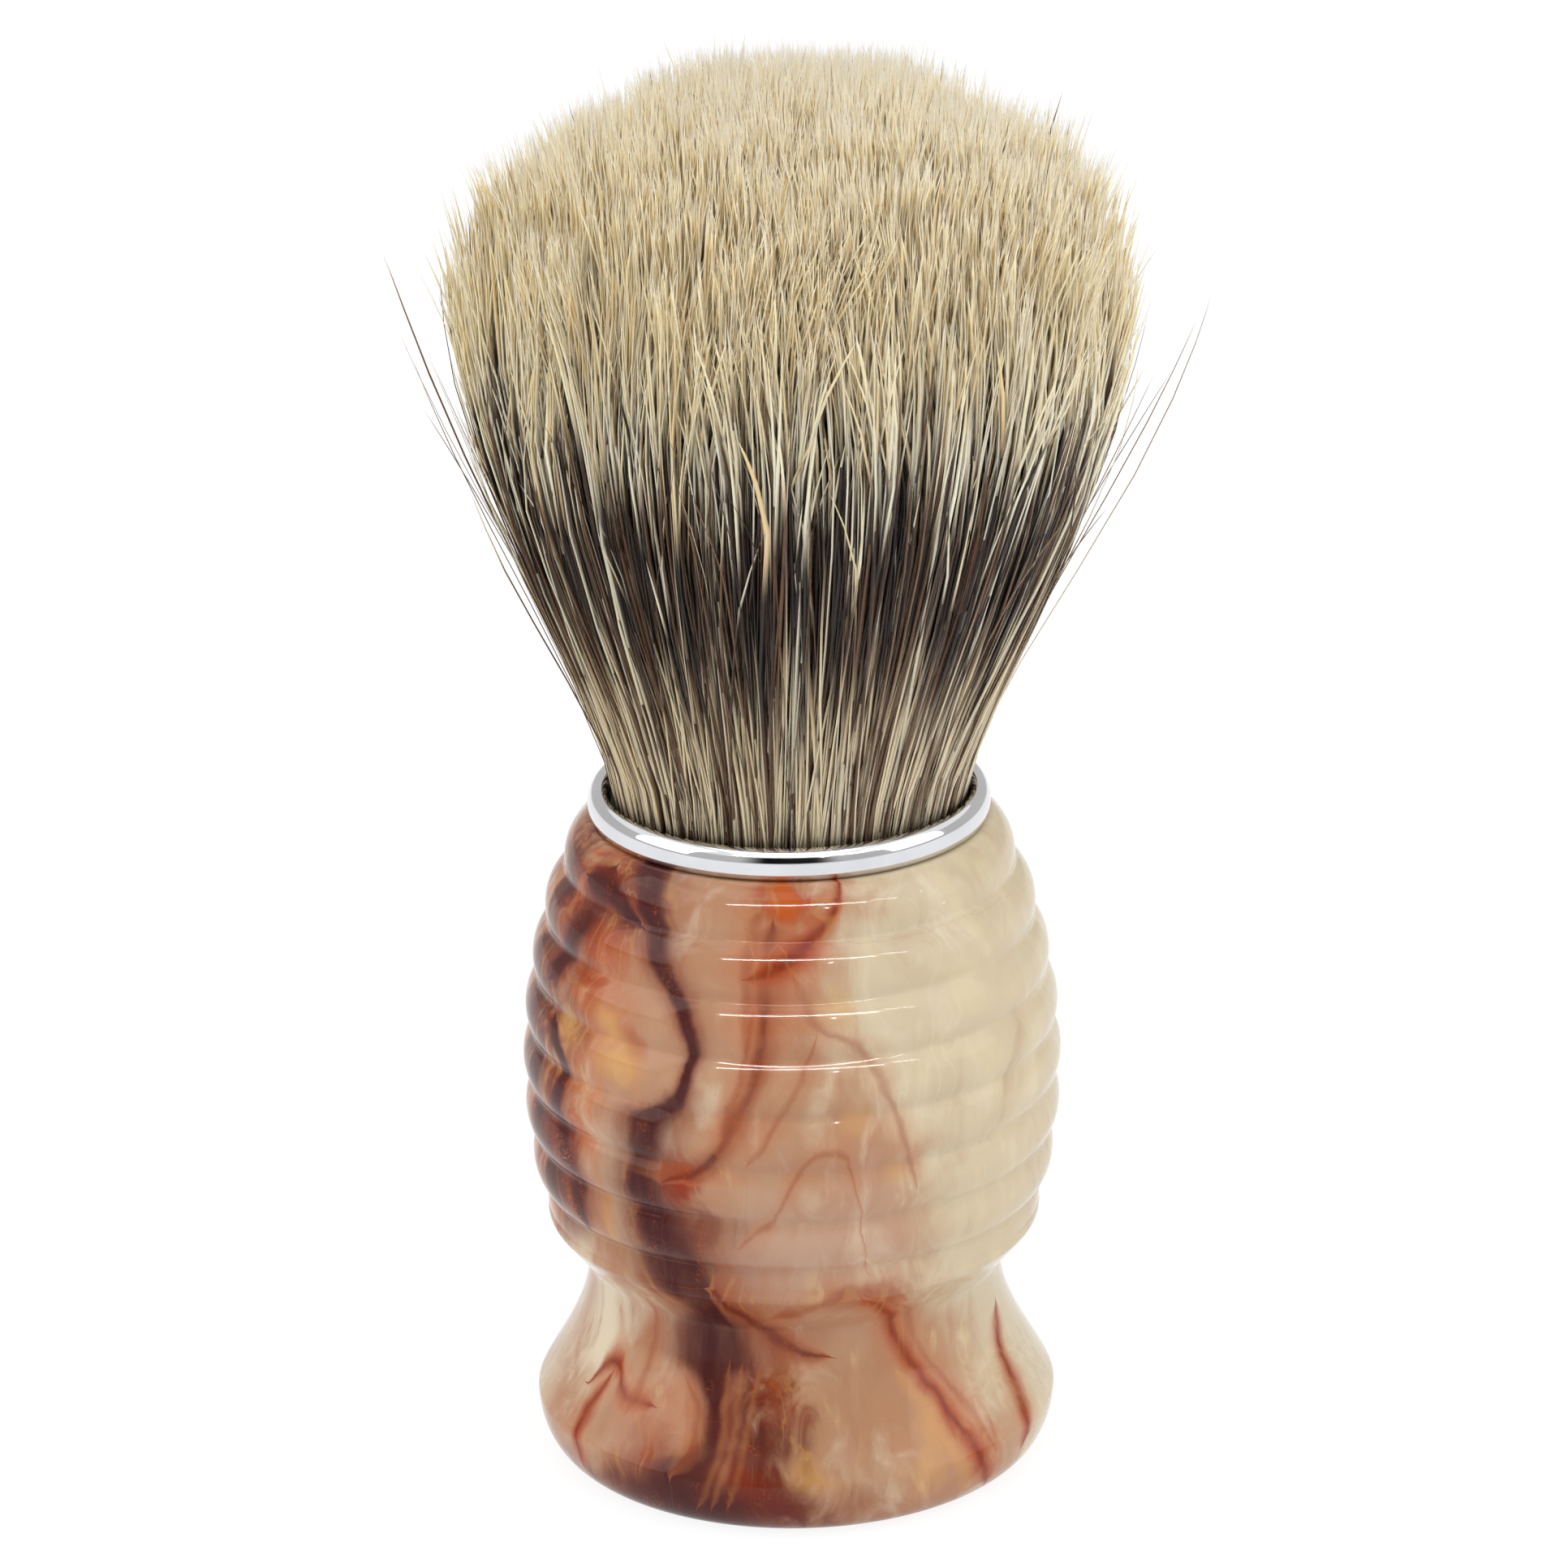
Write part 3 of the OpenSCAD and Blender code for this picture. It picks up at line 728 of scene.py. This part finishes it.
def collarOutline(c):
    sleeveR = c["innerR"] + c["sleeveWall"]
    halfWidth, halfHeight = c["beadWidth"] / 2, (c["topZ"] - c["beadZ"]) / 2
    sleeve = straight((c["innerR"], c["sleeveZ"]), (sleeveR, c["sleeveZ"]), 2)
    sleeve += straight((sleeveR, c["sleeveZ"]), (sleeveR, c["beadZ"]), 4)[1:]
    bead = []
    for x, y in arcPoints((0, 0), 1, -90, 180, c["roundSteps"]):
        if y < 0:  # sits fuller on the handle
            x, y = abs(x) ** c["fullness"], -abs(y) ** c["fullness"]
        bead.append((c["innerR"] + halfWidth * (1 + x), c["beadZ"] + halfHeight * (1 + y)))
    return sleeve + bead


def ringMaterial(c):
    material, tree, surface = newMaterial("brightRing")
    marks = addMarks(tree, *c["marks"])
    metal = mixTone(tree, ease(tree, marks["Smudge"], *c["dulling"]), c["bright"], c["dull"])
    feed(tree, surface.inputs["Base Color"], metal)
    setPlain(surface, {"Metallic": 1})
    feed(tree, surface.inputs["Roughness"], ease(tree, marks["Smudge"], *c["gloss"]))
    addBump(tree, surface, *c["bump"], marks["Height"])
    return material


collarPiece = turnOutline("collarRing", collarOutline(collarShape), collarShape["turns"], True)
dress(collarPiece, ringMaterial(collarShape), "bright_ring", "collar_ring")
print("collar ring turned")


# hidden pieces keep their solids and get a finish of their own
def hiddenMaterial(name, pale, dark, scale, rough, stretch=(1, 1, 1)):
    material, tree, surface = newMaterial(name)
    place = lay(tree, "Mapping", {"Vector": objectPlace(tree), "Scale": stretch}).outputs[0]
    grain = cloud(tree, place, scale, 5, 0.5)[0]
    feed(tree, surface.inputs["Base Color"], mixTone(tree, ease(tree, grain, 0.3, 0.7), dark, pale))
    feed(tree, surface.inputs["Roughness"], ease(tree, grain, 0.3, 0.7, rough, rough + 0.15))
    addBump(tree, surface, 0.4, 0.1, grain)
    return material


hiddenFinishes = {
    # name, pale and dark tone, scale of the grain, roughness and stretch
    "socket_adhesive": ("curedAdhesive", tone(233, 214, 160), tone(206, 178, 112), 220, 0.15),
    "knot_plug": ("setRoots", tone(128, 104, 72), tone(70, 52, 36), 900, 0.45, (1, 1, 0.08)),
    "binding_thread": ("waxedThread", tone(234, 229, 212), tone(196, 186, 160), 1500, 0.7, (1, 1, 0.3)),
}
for nodeName, finish in hiddenFinishes.items():
    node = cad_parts[nodeName]
    node.data.materials.clear()
    node.data.materials.append(hiddenMaterial(*finish))
print("hidden pieces finished")

# knot of hair: thousands of tapered strands from packed roots
longStops = (0, 0.12, 0.28, 0.46, 0.64, 0.79, 0.9, 0.96, 1)
tipStops = (0, 0.5, 0.78, 0.88, 0.95, 1)
knotHair = {
    "seed": 41, "rootZ": 45.8, "rootR": 11.5,
    "bloomR": 21.7, "bloomZ": 81.9, "flare": 1.4, "domeH": 15.8, "lean": 0.9,
    "locks": 60, "tufts": 800, "columns": 128, "bandRise": 0.065, "darkTip": 0.6,
    # spreads in mm: of leans, of turned tips, and of how far hairs cross at their roots and sway
    "lockLean": 0.55, "tuftLean": 0.55, "hairLean": 0.3, "tipTurn": 0.8, "crossing": 0.7, "sway": 0.25,
    "tuftShort": 0.5, "hairShort": 0.35, "longShort": 2, "longShortShare": 0.2,
    "gather": (0.25, 0.9), "gatherFrom": 0.5, "turnFrom": 0.74, "crossTo": 0.6, "waves": (2, 7),
    # columns of tone: the lock's range, and the spread of its tufts and hairs
    "lockColumns": (0.2, 0.8), "tuftColumns": 26, "hairColumns": 14,
    "thickness": 0.3, "body": ((0, 0.3, 0.8, 0.94, 1), (0.85, 1, 0.95, 0.65, 0.15)),
    "layers": [
        # name, hairs, pieces, inner and outer share of the knot's radius, stops, radius, cut, lift and sweep
        # in mm, share of hairs that are dark to the tip
        ("shellHair", 7200, 2, (0.78, 1.0), longStops, 0.098, 0, 0.01, 0.35, 0),
        ("heartHair", 12000, 2, (0.0, 0.78), tipStops, 0.1, 0, 0.01, 0.35, 0),
        ("looseHair", 420, 1, (0.9, 1.0), longStops, 0.085, 12, 0.2, 1.8, 0),
        ("strayHair", 150, 1, (0.96, 1.0), longStops, 0.05, 14, 1.1, 1.0, 0.7),
    ],
    # single hairs that stand off: angle, tip radius and height in mm, how far up the band its tone runs
    "flyawayR": 0.045,
    "flyaways": [
        (90, 27.0, 79.5, 0.6), (86, 24.2, 76.3, 0.6), (94, 25.6, 75.5, 0.62), (84, 23.8, 80.8, 0.62),
        (-90, 26.0, 84.6, 0.7), (-85, 24.2, 78.0, 0.62), (-94, 23.8, 73.5, 0.6), (-98, 25.6, 78.4, 0.62),
    ],
    "tones": {
        "root": (tone(228, 207, 172), tone(92, 68, 50)), "band": (tone(38, 32, 31), tone(104, 76, 56)),
        # cream tips, painted lighter where the tip zone begins: painted fill light against the shade between
        # hairs
        "tip": (tone(255, 243, 214), tone(246, 227, 183)), "golden": tone(218, 174, 108),
        "brown": tone(92, 70, 52), "pale": (tone(200, 188, 160), tone(240, 228, 202)),
    },
    # where each tone begins and is full, of a chance or of the way up a hair
    "shares": {"root": (0.46, 0.68), "band": (0.3, 1), "tip": (0.72, 0.95), "golden": (0.4, 0.98, 0, 0.6),
               "lowEdge": (0.21, 0.45), "topEdge": (0.66, 0.8)},
    "brownFrom": 0.985, "paleFrom": 0.9,
    # how far a chance shifts a value, and from where
    "drift": (0.1, -0.05), "lowStray": (0.18, -0.09), "topStray": (0.22, -0.11), "gloss": (0.2, 0.4),
    "surface": {"Specular IOR Level": 0.35, "Subsurface Weight": 0.6,  # light goes through the hairs
                "Subsurface Radius": (1.0, 0.85, 0.65), "Subsurface Scale": 0.3 * mm},
}


def strandTemplate(name, ringCount):
    # a three-sided strand that stands on z, one unit from ring to ring, closed to a point
    bm = bmesh.new()
    bmesh.ops.create_circle(bm, cap_ends=True, segments=3, radius=1)
    rim = list(bm.edges)
    for ring in range(1, ringCount):
        grown = bmesh.ops.extrude_edge_only(bm, edges=rim)["geom"]
        verts = [g for g in grown if isinstance(g, bmesh.types.BMVert)]
        rim = [g for g in grown if isinstance(g, bmesh.types.BMEdge) and all(v in verts for v in g.verts)]
        bmesh.ops.translate(bm, verts=verts, vec=(0, 0, 1))
    bmesh.ops.pointmerge(bm, verts=verts, merge_co=(0, 0, ringCount - 1))
    bmesh.ops.recalc_face_normals(bm, faces=bm.faces)
    bm.loops.layers.uv.new("OFBake")
    for f in bm.faces:
        f.smooth = True
    return newPiece(name, bm)


def repeatStrand(name, ringCount, count):
    piece = strandTemplate(name, ringCount)
    row = piece.modifiers.new("row", "ARRAY")
    row.count = count
    row.use_relative_offset = False
    ready = piece.evaluated_get(bpy.context.evaluated_depsgraph_get())
    mesh = bpy.data.meshes.new_from_object(ready)
    mesh.name = name
    piece.modifiers.clear()
    piece.data = mesh
    return piece


def spreadAt(k, z):
    u = np.clip((z - k["rootZ"]) / (k["bloomZ"] - k["rootZ"]), 0, 1)
    return k["rootR"] + (k["bloomR"] - k["rootR"]) * np.sin(u * math.pi / 2) ** k["flare"]


def discPoints(dice, count, inner=0.0, outer=1.0):
    r = np.sqrt(dice.uniform(inner ** 2, outer ** 2, count))
    a = dice.uniform(0, math.tau, count)
    return np.stack([r * np.cos(a), r * np.sin(a)], 1)


def nearest(points, centres):
    return np.argmin(((points[:, None] - centres[None]) ** 2).sum(2), 1)


def bendStrands(piece, stops, paths, radii, columns, tipShare, k):
    # paths: hair, stop, xyz in mm; radii: hair, stop in mm
    hairs = len(paths)
    flatCo = np.empty(len(piece.data.vertices) * 3, np.float32)
    piece.data.vertices.foreach_get("co", flatCo)
    size = len(piece.data.vertices) // hairs
    unit = flatCo.reshape(hairs, size, 3)[0]
    ring = np.rint(unit[:, 2]).astype(int)
    along = np.gradient(paths, axis=1)
    along /= np.linalg.norm(along, axis=2, keepdims=True)
    aside = np.cross(along, np.array([0.3, 0.5, 0.0]))  # any level way will do
    aside /= np.linalg.norm(aside, axis=2, keepdims=True)
    other = np.cross(along, aside)
    wide = radii[:, ring, None]
    co = paths[:, ring] + wide * (aside[:, ring] * unit[None, :, :1] + other[:, ring] * unit[None, :, 1:2])
    piece.data.vertices.foreach_set("co", (co * mm).astype(np.float32).ravel())
    # bake map: a column of tone for each hair, root to tip upwards, clear of the columns' and the map's edges
    turnShare = np.arctan2(unit[:, 1], unit[:, 0]) / math.tau + 0.5
    u = (columns[:, None] + 0.2 + 0.6 * turnShare[None, :]) / k["columns"]
    v = tipShare[:, None] * np.array(stops)[ring][None, :] * 0.998 + 0.001
    corner = np.empty(len(piece.data.loops), np.int32)
    piece.data.loops.foreach_get("vertex_index", corner)
    uv = np.stack([u.ravel()[corner], v.ravel()[corner]], 1)
    piece.data.uv_layers["OFBake"].data.foreach_set("uv", uv.astype(np.float32).ravel())
    piece.data.update()


def strandRadii(dice, stops, count, radius, k):
    body = np.interp(stops, *k["body"])
    return radius * np.exp(dice.normal(0, k["thickness"], count))[:, None] * body[None, :]


def growHair(k):
    dice = np.random.default_rng(k["seed"])
    # broad locks lean and shade together; small tufts close up at their tips
    lockAt = discPoints(dice, k["locks"])
    lockLean = dice.normal(0, k["lockLean"], (k["locks"], 2))
    lockColumn = dice.uniform(*k["lockColumns"], k["locks"]) * k["columns"]
    tuftAt = discPoints(dice, k["tufts"])
    tuftLean = dice.normal(0, k["tuftLean"], (k["tufts"], 2))
    tuftTurn = dice.normal(0, k["tipTurn"], (k["tufts"], 2))
    tuftShort = np.abs(dice.normal(0, k["tuftShort"], k["tufts"]))
    tuftColumn = lockColumn[nearest(tuftAt, lockAt)] + dice.normal(0, k["tuftColumns"], k["tufts"])
    made = []
    for name, hairs, pieces, band, stops, radius, cut, lift, sweep, darkShare in k["layers"]:
        count, t = hairs // pieces, np.array(stops)[None, :]
        for number in range(pieces):
            root = discPoints(dice, count, *band)
            rho = np.linalg.norm(root, axis=1)
            out = root / rho[:, None]
            across = np.stack([-out[:, 1], out[:, 0]], 1)
            lock, tuft = nearest(root, lockAt), nearest(root, tuftAt)
            short = np.abs(dice.normal(0, k["hairShort"], count))
            short += dice.exponential(k["longShort"], count) * (dice.random(count) < k["longShortShare"])
            short += tuftShort[tuft] + dice.uniform(0, cut, count)
            tipZ = k["bloomZ"] + k["domeH"] * np.sqrt(np.clip(1 - rho ** 2, 0, 1)) - short
            z = k["rootZ"] + (tipZ[:, None] - k["rootZ"]) * t
            closing = np.clip((t - k["gatherFrom"]) / (1 - k["gatherFrom"]), 0, 1) ** 1.5
            gather = dice.uniform(*k["gather"], count)[:, None] * closing
            disc = root[:, None] + (tuftAt[tuft] - root)[:, None] * gather[:, :, None]
            xy = disc * spreadAt(k, z)[:, :, None]
            # lean, sway and a slight curl of each hair
            lean = lockLean[lock] + tuftLean[tuft] + dice.normal(0, k["hairLean"], (count, 2))
            xy += lean[:, None] * (t ** 2.2)[:, :, None]
            xy[:, :, 0] += k["lean"] * (z - k["rootZ"]) / (k["bloomZ"] - k["rootZ"])
            turned = tuftTurn[tuft] + dice.normal(0, k["tipTurn"], (count, 2))
            tipPart = np.clip((t - k["turnFrom"]) / (1 - k["turnFrom"]), 0, 1) ** 1.6
            xy += turned[:, None] * tipPart[:, :, None]
            waves = t * dice.uniform(*k["waves"], count)[:, None]
            sway = np.sin(waves + dice.uniform(0, math.tau, count)[:, None])
            xy += dice.normal(0, k["sway"], (count, 2))[:, None] * (sway * t)[:, :, None]
            swept = dice.normal(0, sweep, count)
            lifted = dice.exponential(lift, count)
            xy += across[:, None] * (swept[:, None] * t ** 1.2)[:, :, None]
            crossing = dice.normal(0, k["crossing"], count)
            xy += across[:, None] * (crossing[:, None] * np.clip(1 - t / k["crossTo"], 0, 1))[:, :, None]
            xy += out[:, None] * (lifted[:, None] * t ** 1.4)[:, :, None]
            paths = np.concatenate([xy, z[:, :, None]], 2)
            columns = np.rint(tuftColumn[tuft] + dice.normal(0, k["hairColumns"], count)) % k["columns"]
            piece = repeatStrand(f"{name}{number + 1}", len(stops), count)
            radii = strandRadii(dice, stops, count, radius, k)
            # the band stands higher in front
            tipShare = 1 - k["bandRise"] * np.clip(-out[:, 1], 0, 1) * rho ** 2
            tipShare[dice.random(count) < darkShare] = k["darkTip"]
            bendStrands(piece, stops, paths, radii, columns, tipShare, k)
            made.append(piece)
    made.append(growFlyaways(dice, k))
    return made


def growFlyaways(dice, k):
    angle, tipR, tipZ, tipShare = np.array(k["flyaways"]).T
    count, t = len(angle), np.array(longStops)[None, :]
    out = np.stack([np.sin(np.radians(angle)), -np.cos(np.radians(angle))], 1)
    z = k["rootZ"] + (tipZ[:, None] - k["rootZ"]) * t
    r = spreadAt(k, z) + (tipR - spreadAt(k, tipZ))[:, None] * t ** dice.uniform(2, 3.5, count)[:, None]
    paths = np.concatenate([out[:, None] * r[:, :, None], z[:, :, None]], 2)
    piece = repeatStrand("flyaways", len(longStops), count)
    columns = np.rint(dice.uniform(0.3, 0.7, count) * k["columns"])
    radii = strandRadii(dice, longStops, count, k["flyawayR"], k)
    bendStrands(piece, longStops, paths, radii, columns, tipShare, k)
    return piece


def hairMaterial(k):
    material, tree, surface = newMaterial("bandedHair")
    tones, shares = k["tones"], k["shares"]
    bakeMap = lay(tree, "UVMap", uv_map="OFBake").outputs[0]
    axes = lay(tree, "SeparateXYZ", {0: bakeMap}).outputs
    column = calc(tree, "FLOOR", calc(tree, "MULTIPLY", axes["X"], k["columns"]))
    along = axes["Y"]

    def luck(offset):
        # a chance for each column of tone; each offset throws again
        where = calc(tree, "ADD", column, offset)
        return lay(tree, "TexWhiteNoise", {"W": where}, noise_dimensions="1D").outputs["Value"]

    # every hair is pale or brown at its root, dark in its band and cream at its tip,
    # and each change comes at a height of its own; the tip's lower part is painted lighter, painted fill
    # light against the shade between hairs
    drift = calc(tree, "MULTIPLY_ADD", axes["X"], *k["drift"])
    lowEdge = calc(tree, "ADD", along, calc(tree, "MULTIPLY_ADD", luck(0.17), *k["lowStray"]))
    topEdge = calc(tree, "ADD", along, drift)
    topEdge = calc(tree, "ADD", topEdge, calc(tree, "MULTIPLY_ADD", luck(0.31), *k["topStray"]))
    rootTone = mixTone(tree, ease(tree, luck(0.43), *shares["root"]), *tones["root"])
    bandTone = mixTone(tree, ease(tree, luck(0.53), *shares["band"]), *tones["band"])
    # painted fill light: the tip tone is lightest low in the tip zone, where shade falls between hairs, and
    # eases to cream at the end
    tipToneWithPaintedFill = mixTone(tree, ease(tree, along, *shares["tip"]), *tones["tip"])
    tipToneWithPaintedFill = mixTone(tree, ease(tree, luck(0.61), *shares["golden"]), tipToneWithPaintedFill, tones["golden"])
    tipToneWithPaintedFill = mixTone(tree, calc(tree, "GREATER_THAN", luck(0.67), k["brownFrom"]), tipToneWithPaintedFill, tones["brown"])
    hair = mixTone(tree, ease(tree, lowEdge, *shares["lowEdge"]), rootTone, bandTone)
    hair = mixTone(tree, ease(tree, topEdge, *shares["topEdge"]), hair, tipToneWithPaintedFill)
    pale = mixTone(tree, along, *tones["pale"])
    hair = mixTone(tree, calc(tree, "GREATER_THAN", luck(0.79), k["paleFrom"]), hair, pale)
    feed(tree, surface.inputs["Base Color"], hair)
    feed(tree, surface.inputs["Roughness"], calc(tree, "MULTIPLY_ADD", luck(0.29), *k["gloss"]))
    setPlain(surface, k["surface"])
    return material


hairPieces = growHair(knotHair)
bandedHair = hairMaterial(knotHair)
for piece in hairPieces:
    dress(piece, bandedHair, "hair", "knot_hair")
print("hair grown:", sum(len(p.data.polygons) for p in hairPieces), "faces in", len(hairPieces), "pieces")

# packed roots that fill the ring
rootPack = {
    "r": 11.7, "lowZ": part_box("knot_hair")[0].z / mm, "topZ": 46.7, "crown": 0.25, "crownSteps": 10,
    "turns": 96, "endScale": 5000, "dark": tone(64, 52, 40), "pale": tone(150, 132, 100),
    "stretch": (1, 1, 0.1), "gloss": (0.5, 0.75), "bump": (0.6, 0.1),
}


def rootMaterial(p):
    material, tree, surface = newMaterial("packedRoots")
    place = lay(tree, "Mapping", {"Vector": objectPlace(tree), "Scale": p["stretch"]}).outputs[0]
    ends = cells(tree, place, p["endScale"])
    luckOf = channels(tree, ends["Color"])[0]
    feed(tree, surface.inputs["Base Color"], mixTone(tree, luckOf, p["dark"], p["pale"]))
    feed(tree, surface.inputs["Roughness"], ease(tree, luckOf, 0, 1, *p["gloss"]))
    addBump(tree, surface, *p["bump"], ends["Distance"])
    return material


def rootOutline(p):
    crown = []
    for i in range(p["crownSteps"] + 1):
        share = i / p["crownSteps"]
        crown.append((p["r"] * (1 - share), p["topZ"] + p["crown"] * math.sin(math.pi / 2 * share)))
    return straight((0, p["lowZ"]), (p["r"], p["lowZ"]), 5) + crown


rootPiece = turnOutline("packedRoots", rootOutline(rootPack), rootPack["turns"], False)
dress(rootPiece, rootMaterial(rootPack), "hair", "knot_hair")
print("roots packed")

# stage: white sweep, soft tent light, and the photograph's camera
white = (1, 1, 1, 1)
studio = {
    "floorSize": 6.0, "floorTone": tone(244, 244, 244), "floorGlow": 0.85, "glowStrength": 1.05,
    "skyFill": 0.42,
    "camera": {"elevation": 20.12, "distance": 0.4344, "aimZ": 0.0475, "aimX": -0.00033,
               "lens": 149.07, "sensor": 36, "roll": -0.72},
    "lamps": [
        # name, place, aim, size, watts, whether shiny surfaces show it
        ("topSoftbox", (0.0, -0.1, 0.8), (0, 0, 0.05), (0.8, 0.8), 3.2, True),
        ("frontFill", (0.0, -0.8, 0.6), (0, 0, 0.06), (0.9, 0.6), 2.2, False),
        ("leftPanel", (-0.62, -0.15, 0.38), (0, 0, 0.05), (0.5, 0.6), 1.9, True),
        ("rightPanel", (0.62, -0.15, 0.38), (0, 0, 0.05), (0.5, 0.6), 1.9, True),
    ],
    # what only shiny surfaces see: the dim room, bright strips, and the dark behind the camera
    "horizon": {"r": 1.3, "topZ": 0.75, "turns": 48, "tone": tone(204, 202, 200)},
    "strips": [
        # name, left and right end, y and z of the middle, depth, glow
        ("longStrip", -0.36, 0.46, -0.5, 0.5, 0.013, 105),
        ("shortStrip", 0.5, 0.8, -0.48, 0.55, 0.02, 26),
        ("smallLamp", 0.17, 0.185, -0.5, 0.38, 0.02, 110),
    ],
    "cameraSide": {"y": -0.8, "halfWidth": 0.46, "lowZ": 0.06, "topZ": 0.55, "plainShare": 0.4,
                   "tone": tone(24, 22, 22)},
}


def whiteForViewers(tree):
    # 1 for rays from the camera and from mirrors and glass
    path = lay(tree, "LightPath").outputs
    seen = calc(tree, "MAXIMUM", path["Is Camera Ray"], path["Is Glossy Ray"])
    return calc(tree, "MAXIMUM", seen, path["Is Transmission Ray"])


def makeFloor(s):
    bm = bmesh.new()
    bmesh.ops.create_grid(bm, x_segments=2, y_segments=2, size=s["floorSize"] / 2)
    floor = newPiece("floor", bm)
    material, tree, surface = newMaterial("whiteFloor")
    setPlain(surface, {"Base Color": s["floorTone"], "Roughness": 0.9, "Specular IOR Level": 0})
    glow = lay(tree, "Emission", {"Color": white, "Strength": s["glowStrength"]}).outputs[0]
    share = calc(tree, "MULTIPLY", whiteForViewers(tree), s["floorGlow"])
    blend = lay(tree, "MixShader", {0: share, 1: surface.outputs[0], 2: glow})
    tree.links.new(blend.outputs[0], tree.nodes["Material Output"].inputs["Surface"])
    floor.data.materials.append(material)


def makeLight(s):
    world = bpy.data.worlds.new("tent")
    bpy.context.scene.world = world
    world.use_nodes = True
    tree = world.node_tree
    sky = tree.nodes["Background"]
    sky.inputs["Color"].default_value = white
    strength = ease(tree, whiteForViewers(tree), 0, 1, s["skyFill"], 1.0)
    feed(tree, sky.inputs["Strength"], strength)
    for name, place, aim, size, watts, mirrored in s["lamps"]:
        lamp = bpy.data.lights.new(name, "AREA")
        lamp.shape = "RECTANGLE"
        lamp.size, lamp.size_y = size
        lamp.energy = watts
        holder = bpy.data.objects.new(name, lamp)
        holder.location = place
        holder.visible_glossy = mirrored
        holder.rotation_euler = (Vector(aim) - Vector(place)).to_track_quat("-Z", "Y").to_euler()
        bpy.context.scene.collection.objects.link(holder)


def reflectedOnly(piece, colour, strength=1.0, edgeTone=None, plainShare=1.0):
    material, tree, surface = newMaterial(piece.name)
    if edgeTone:  # a card that fades out to its sides
        axes = lay(tree, "SeparateXYZ", {0: objectPlace(tree)}).outputs
        aside = calc(tree, "ABSOLUTE", axes["X"])
        reach = max(v.co.x for v in piece.data.vertices)
        colour = mixTone(tree, ease(tree, aside, reach * plainShare, reach), colour, edgeTone)
    glow = lay(tree, "Emission", {"Color": colour, "Strength": strength}).outputs[0]
    tree.links.new(glow, tree.nodes["Material Output"].inputs["Surface"])
    piece.data.materials.append(material)
    piece.visible_camera = False
    piece.visible_diffuse = False
    piece.visible_transmission = False
    piece.visible_shadow = False


def makeCard(name, left, right, low, high):
    # a flat card across x, from one (y, z) to another
    bm = bmesh.new()
    corners = [(left, *low), (right, *low), (right, *high), (left, *high)]
    bm.faces.new([bm.verts.new(corner) for corner in corners])
    return newPiece(name, bm)


def makeRoom(s):
    h, c = s["horizon"], s["cameraSide"]
    wallOutline = straight((h["r"] / mm, 0), (h["r"] / mm, h["topZ"] / mm), 2)
    reflectedOnly(turnOutline("horizon", wallOutline, h["turns"], False), h["tone"])
    card = makeCard("cameraSide", -c["halfWidth"], c["halfWidth"], (c["y"], c["lowZ"]), (c["y"], c["topZ"]))
    reflectedOnly(card, c["tone"], 1.0, h["tone"], c["plainShare"])
    for name, left, right, y, z, deep, strength in s["strips"]:
        card = makeCard(name, left, right, (y - deep / 2, z - deep / 2), (y + deep / 2, z + deep / 2))
        reflectedOnly(card, white, strength)


def makeCamera(c):
    lens = bpy.data.cameras.new("photoView")
    lens.lens = c["lens"]
    lens.sensor_width = c["sensor"]
    lens.clip_start = 10 * mm
    view = bpy.data.objects.new("photoView", lens)
    lift = math.radians(c["elevation"])
    aim = Vector((c["aimX"], 0, c["aimZ"]))
    view.location = aim + c["distance"] * Vector((0, -math.cos(lift), math.sin(lift)))
    look = (aim - view.location).to_track_quat("-Z", "Y")
    view.rotation_euler = (look @ Quaternion((0, 0, 1), math.radians(c["roll"]))).to_euler()
    bpy.context.scene.collection.objects.link(view)
    bpy.context.scene.camera = view


makeFloor(studio)
makeLight(studio)
makeRoom(studio)
makeCamera(studio["camera"])
bpy.context.scene.view_settings.view_transform = "Standard"
print("stage set")
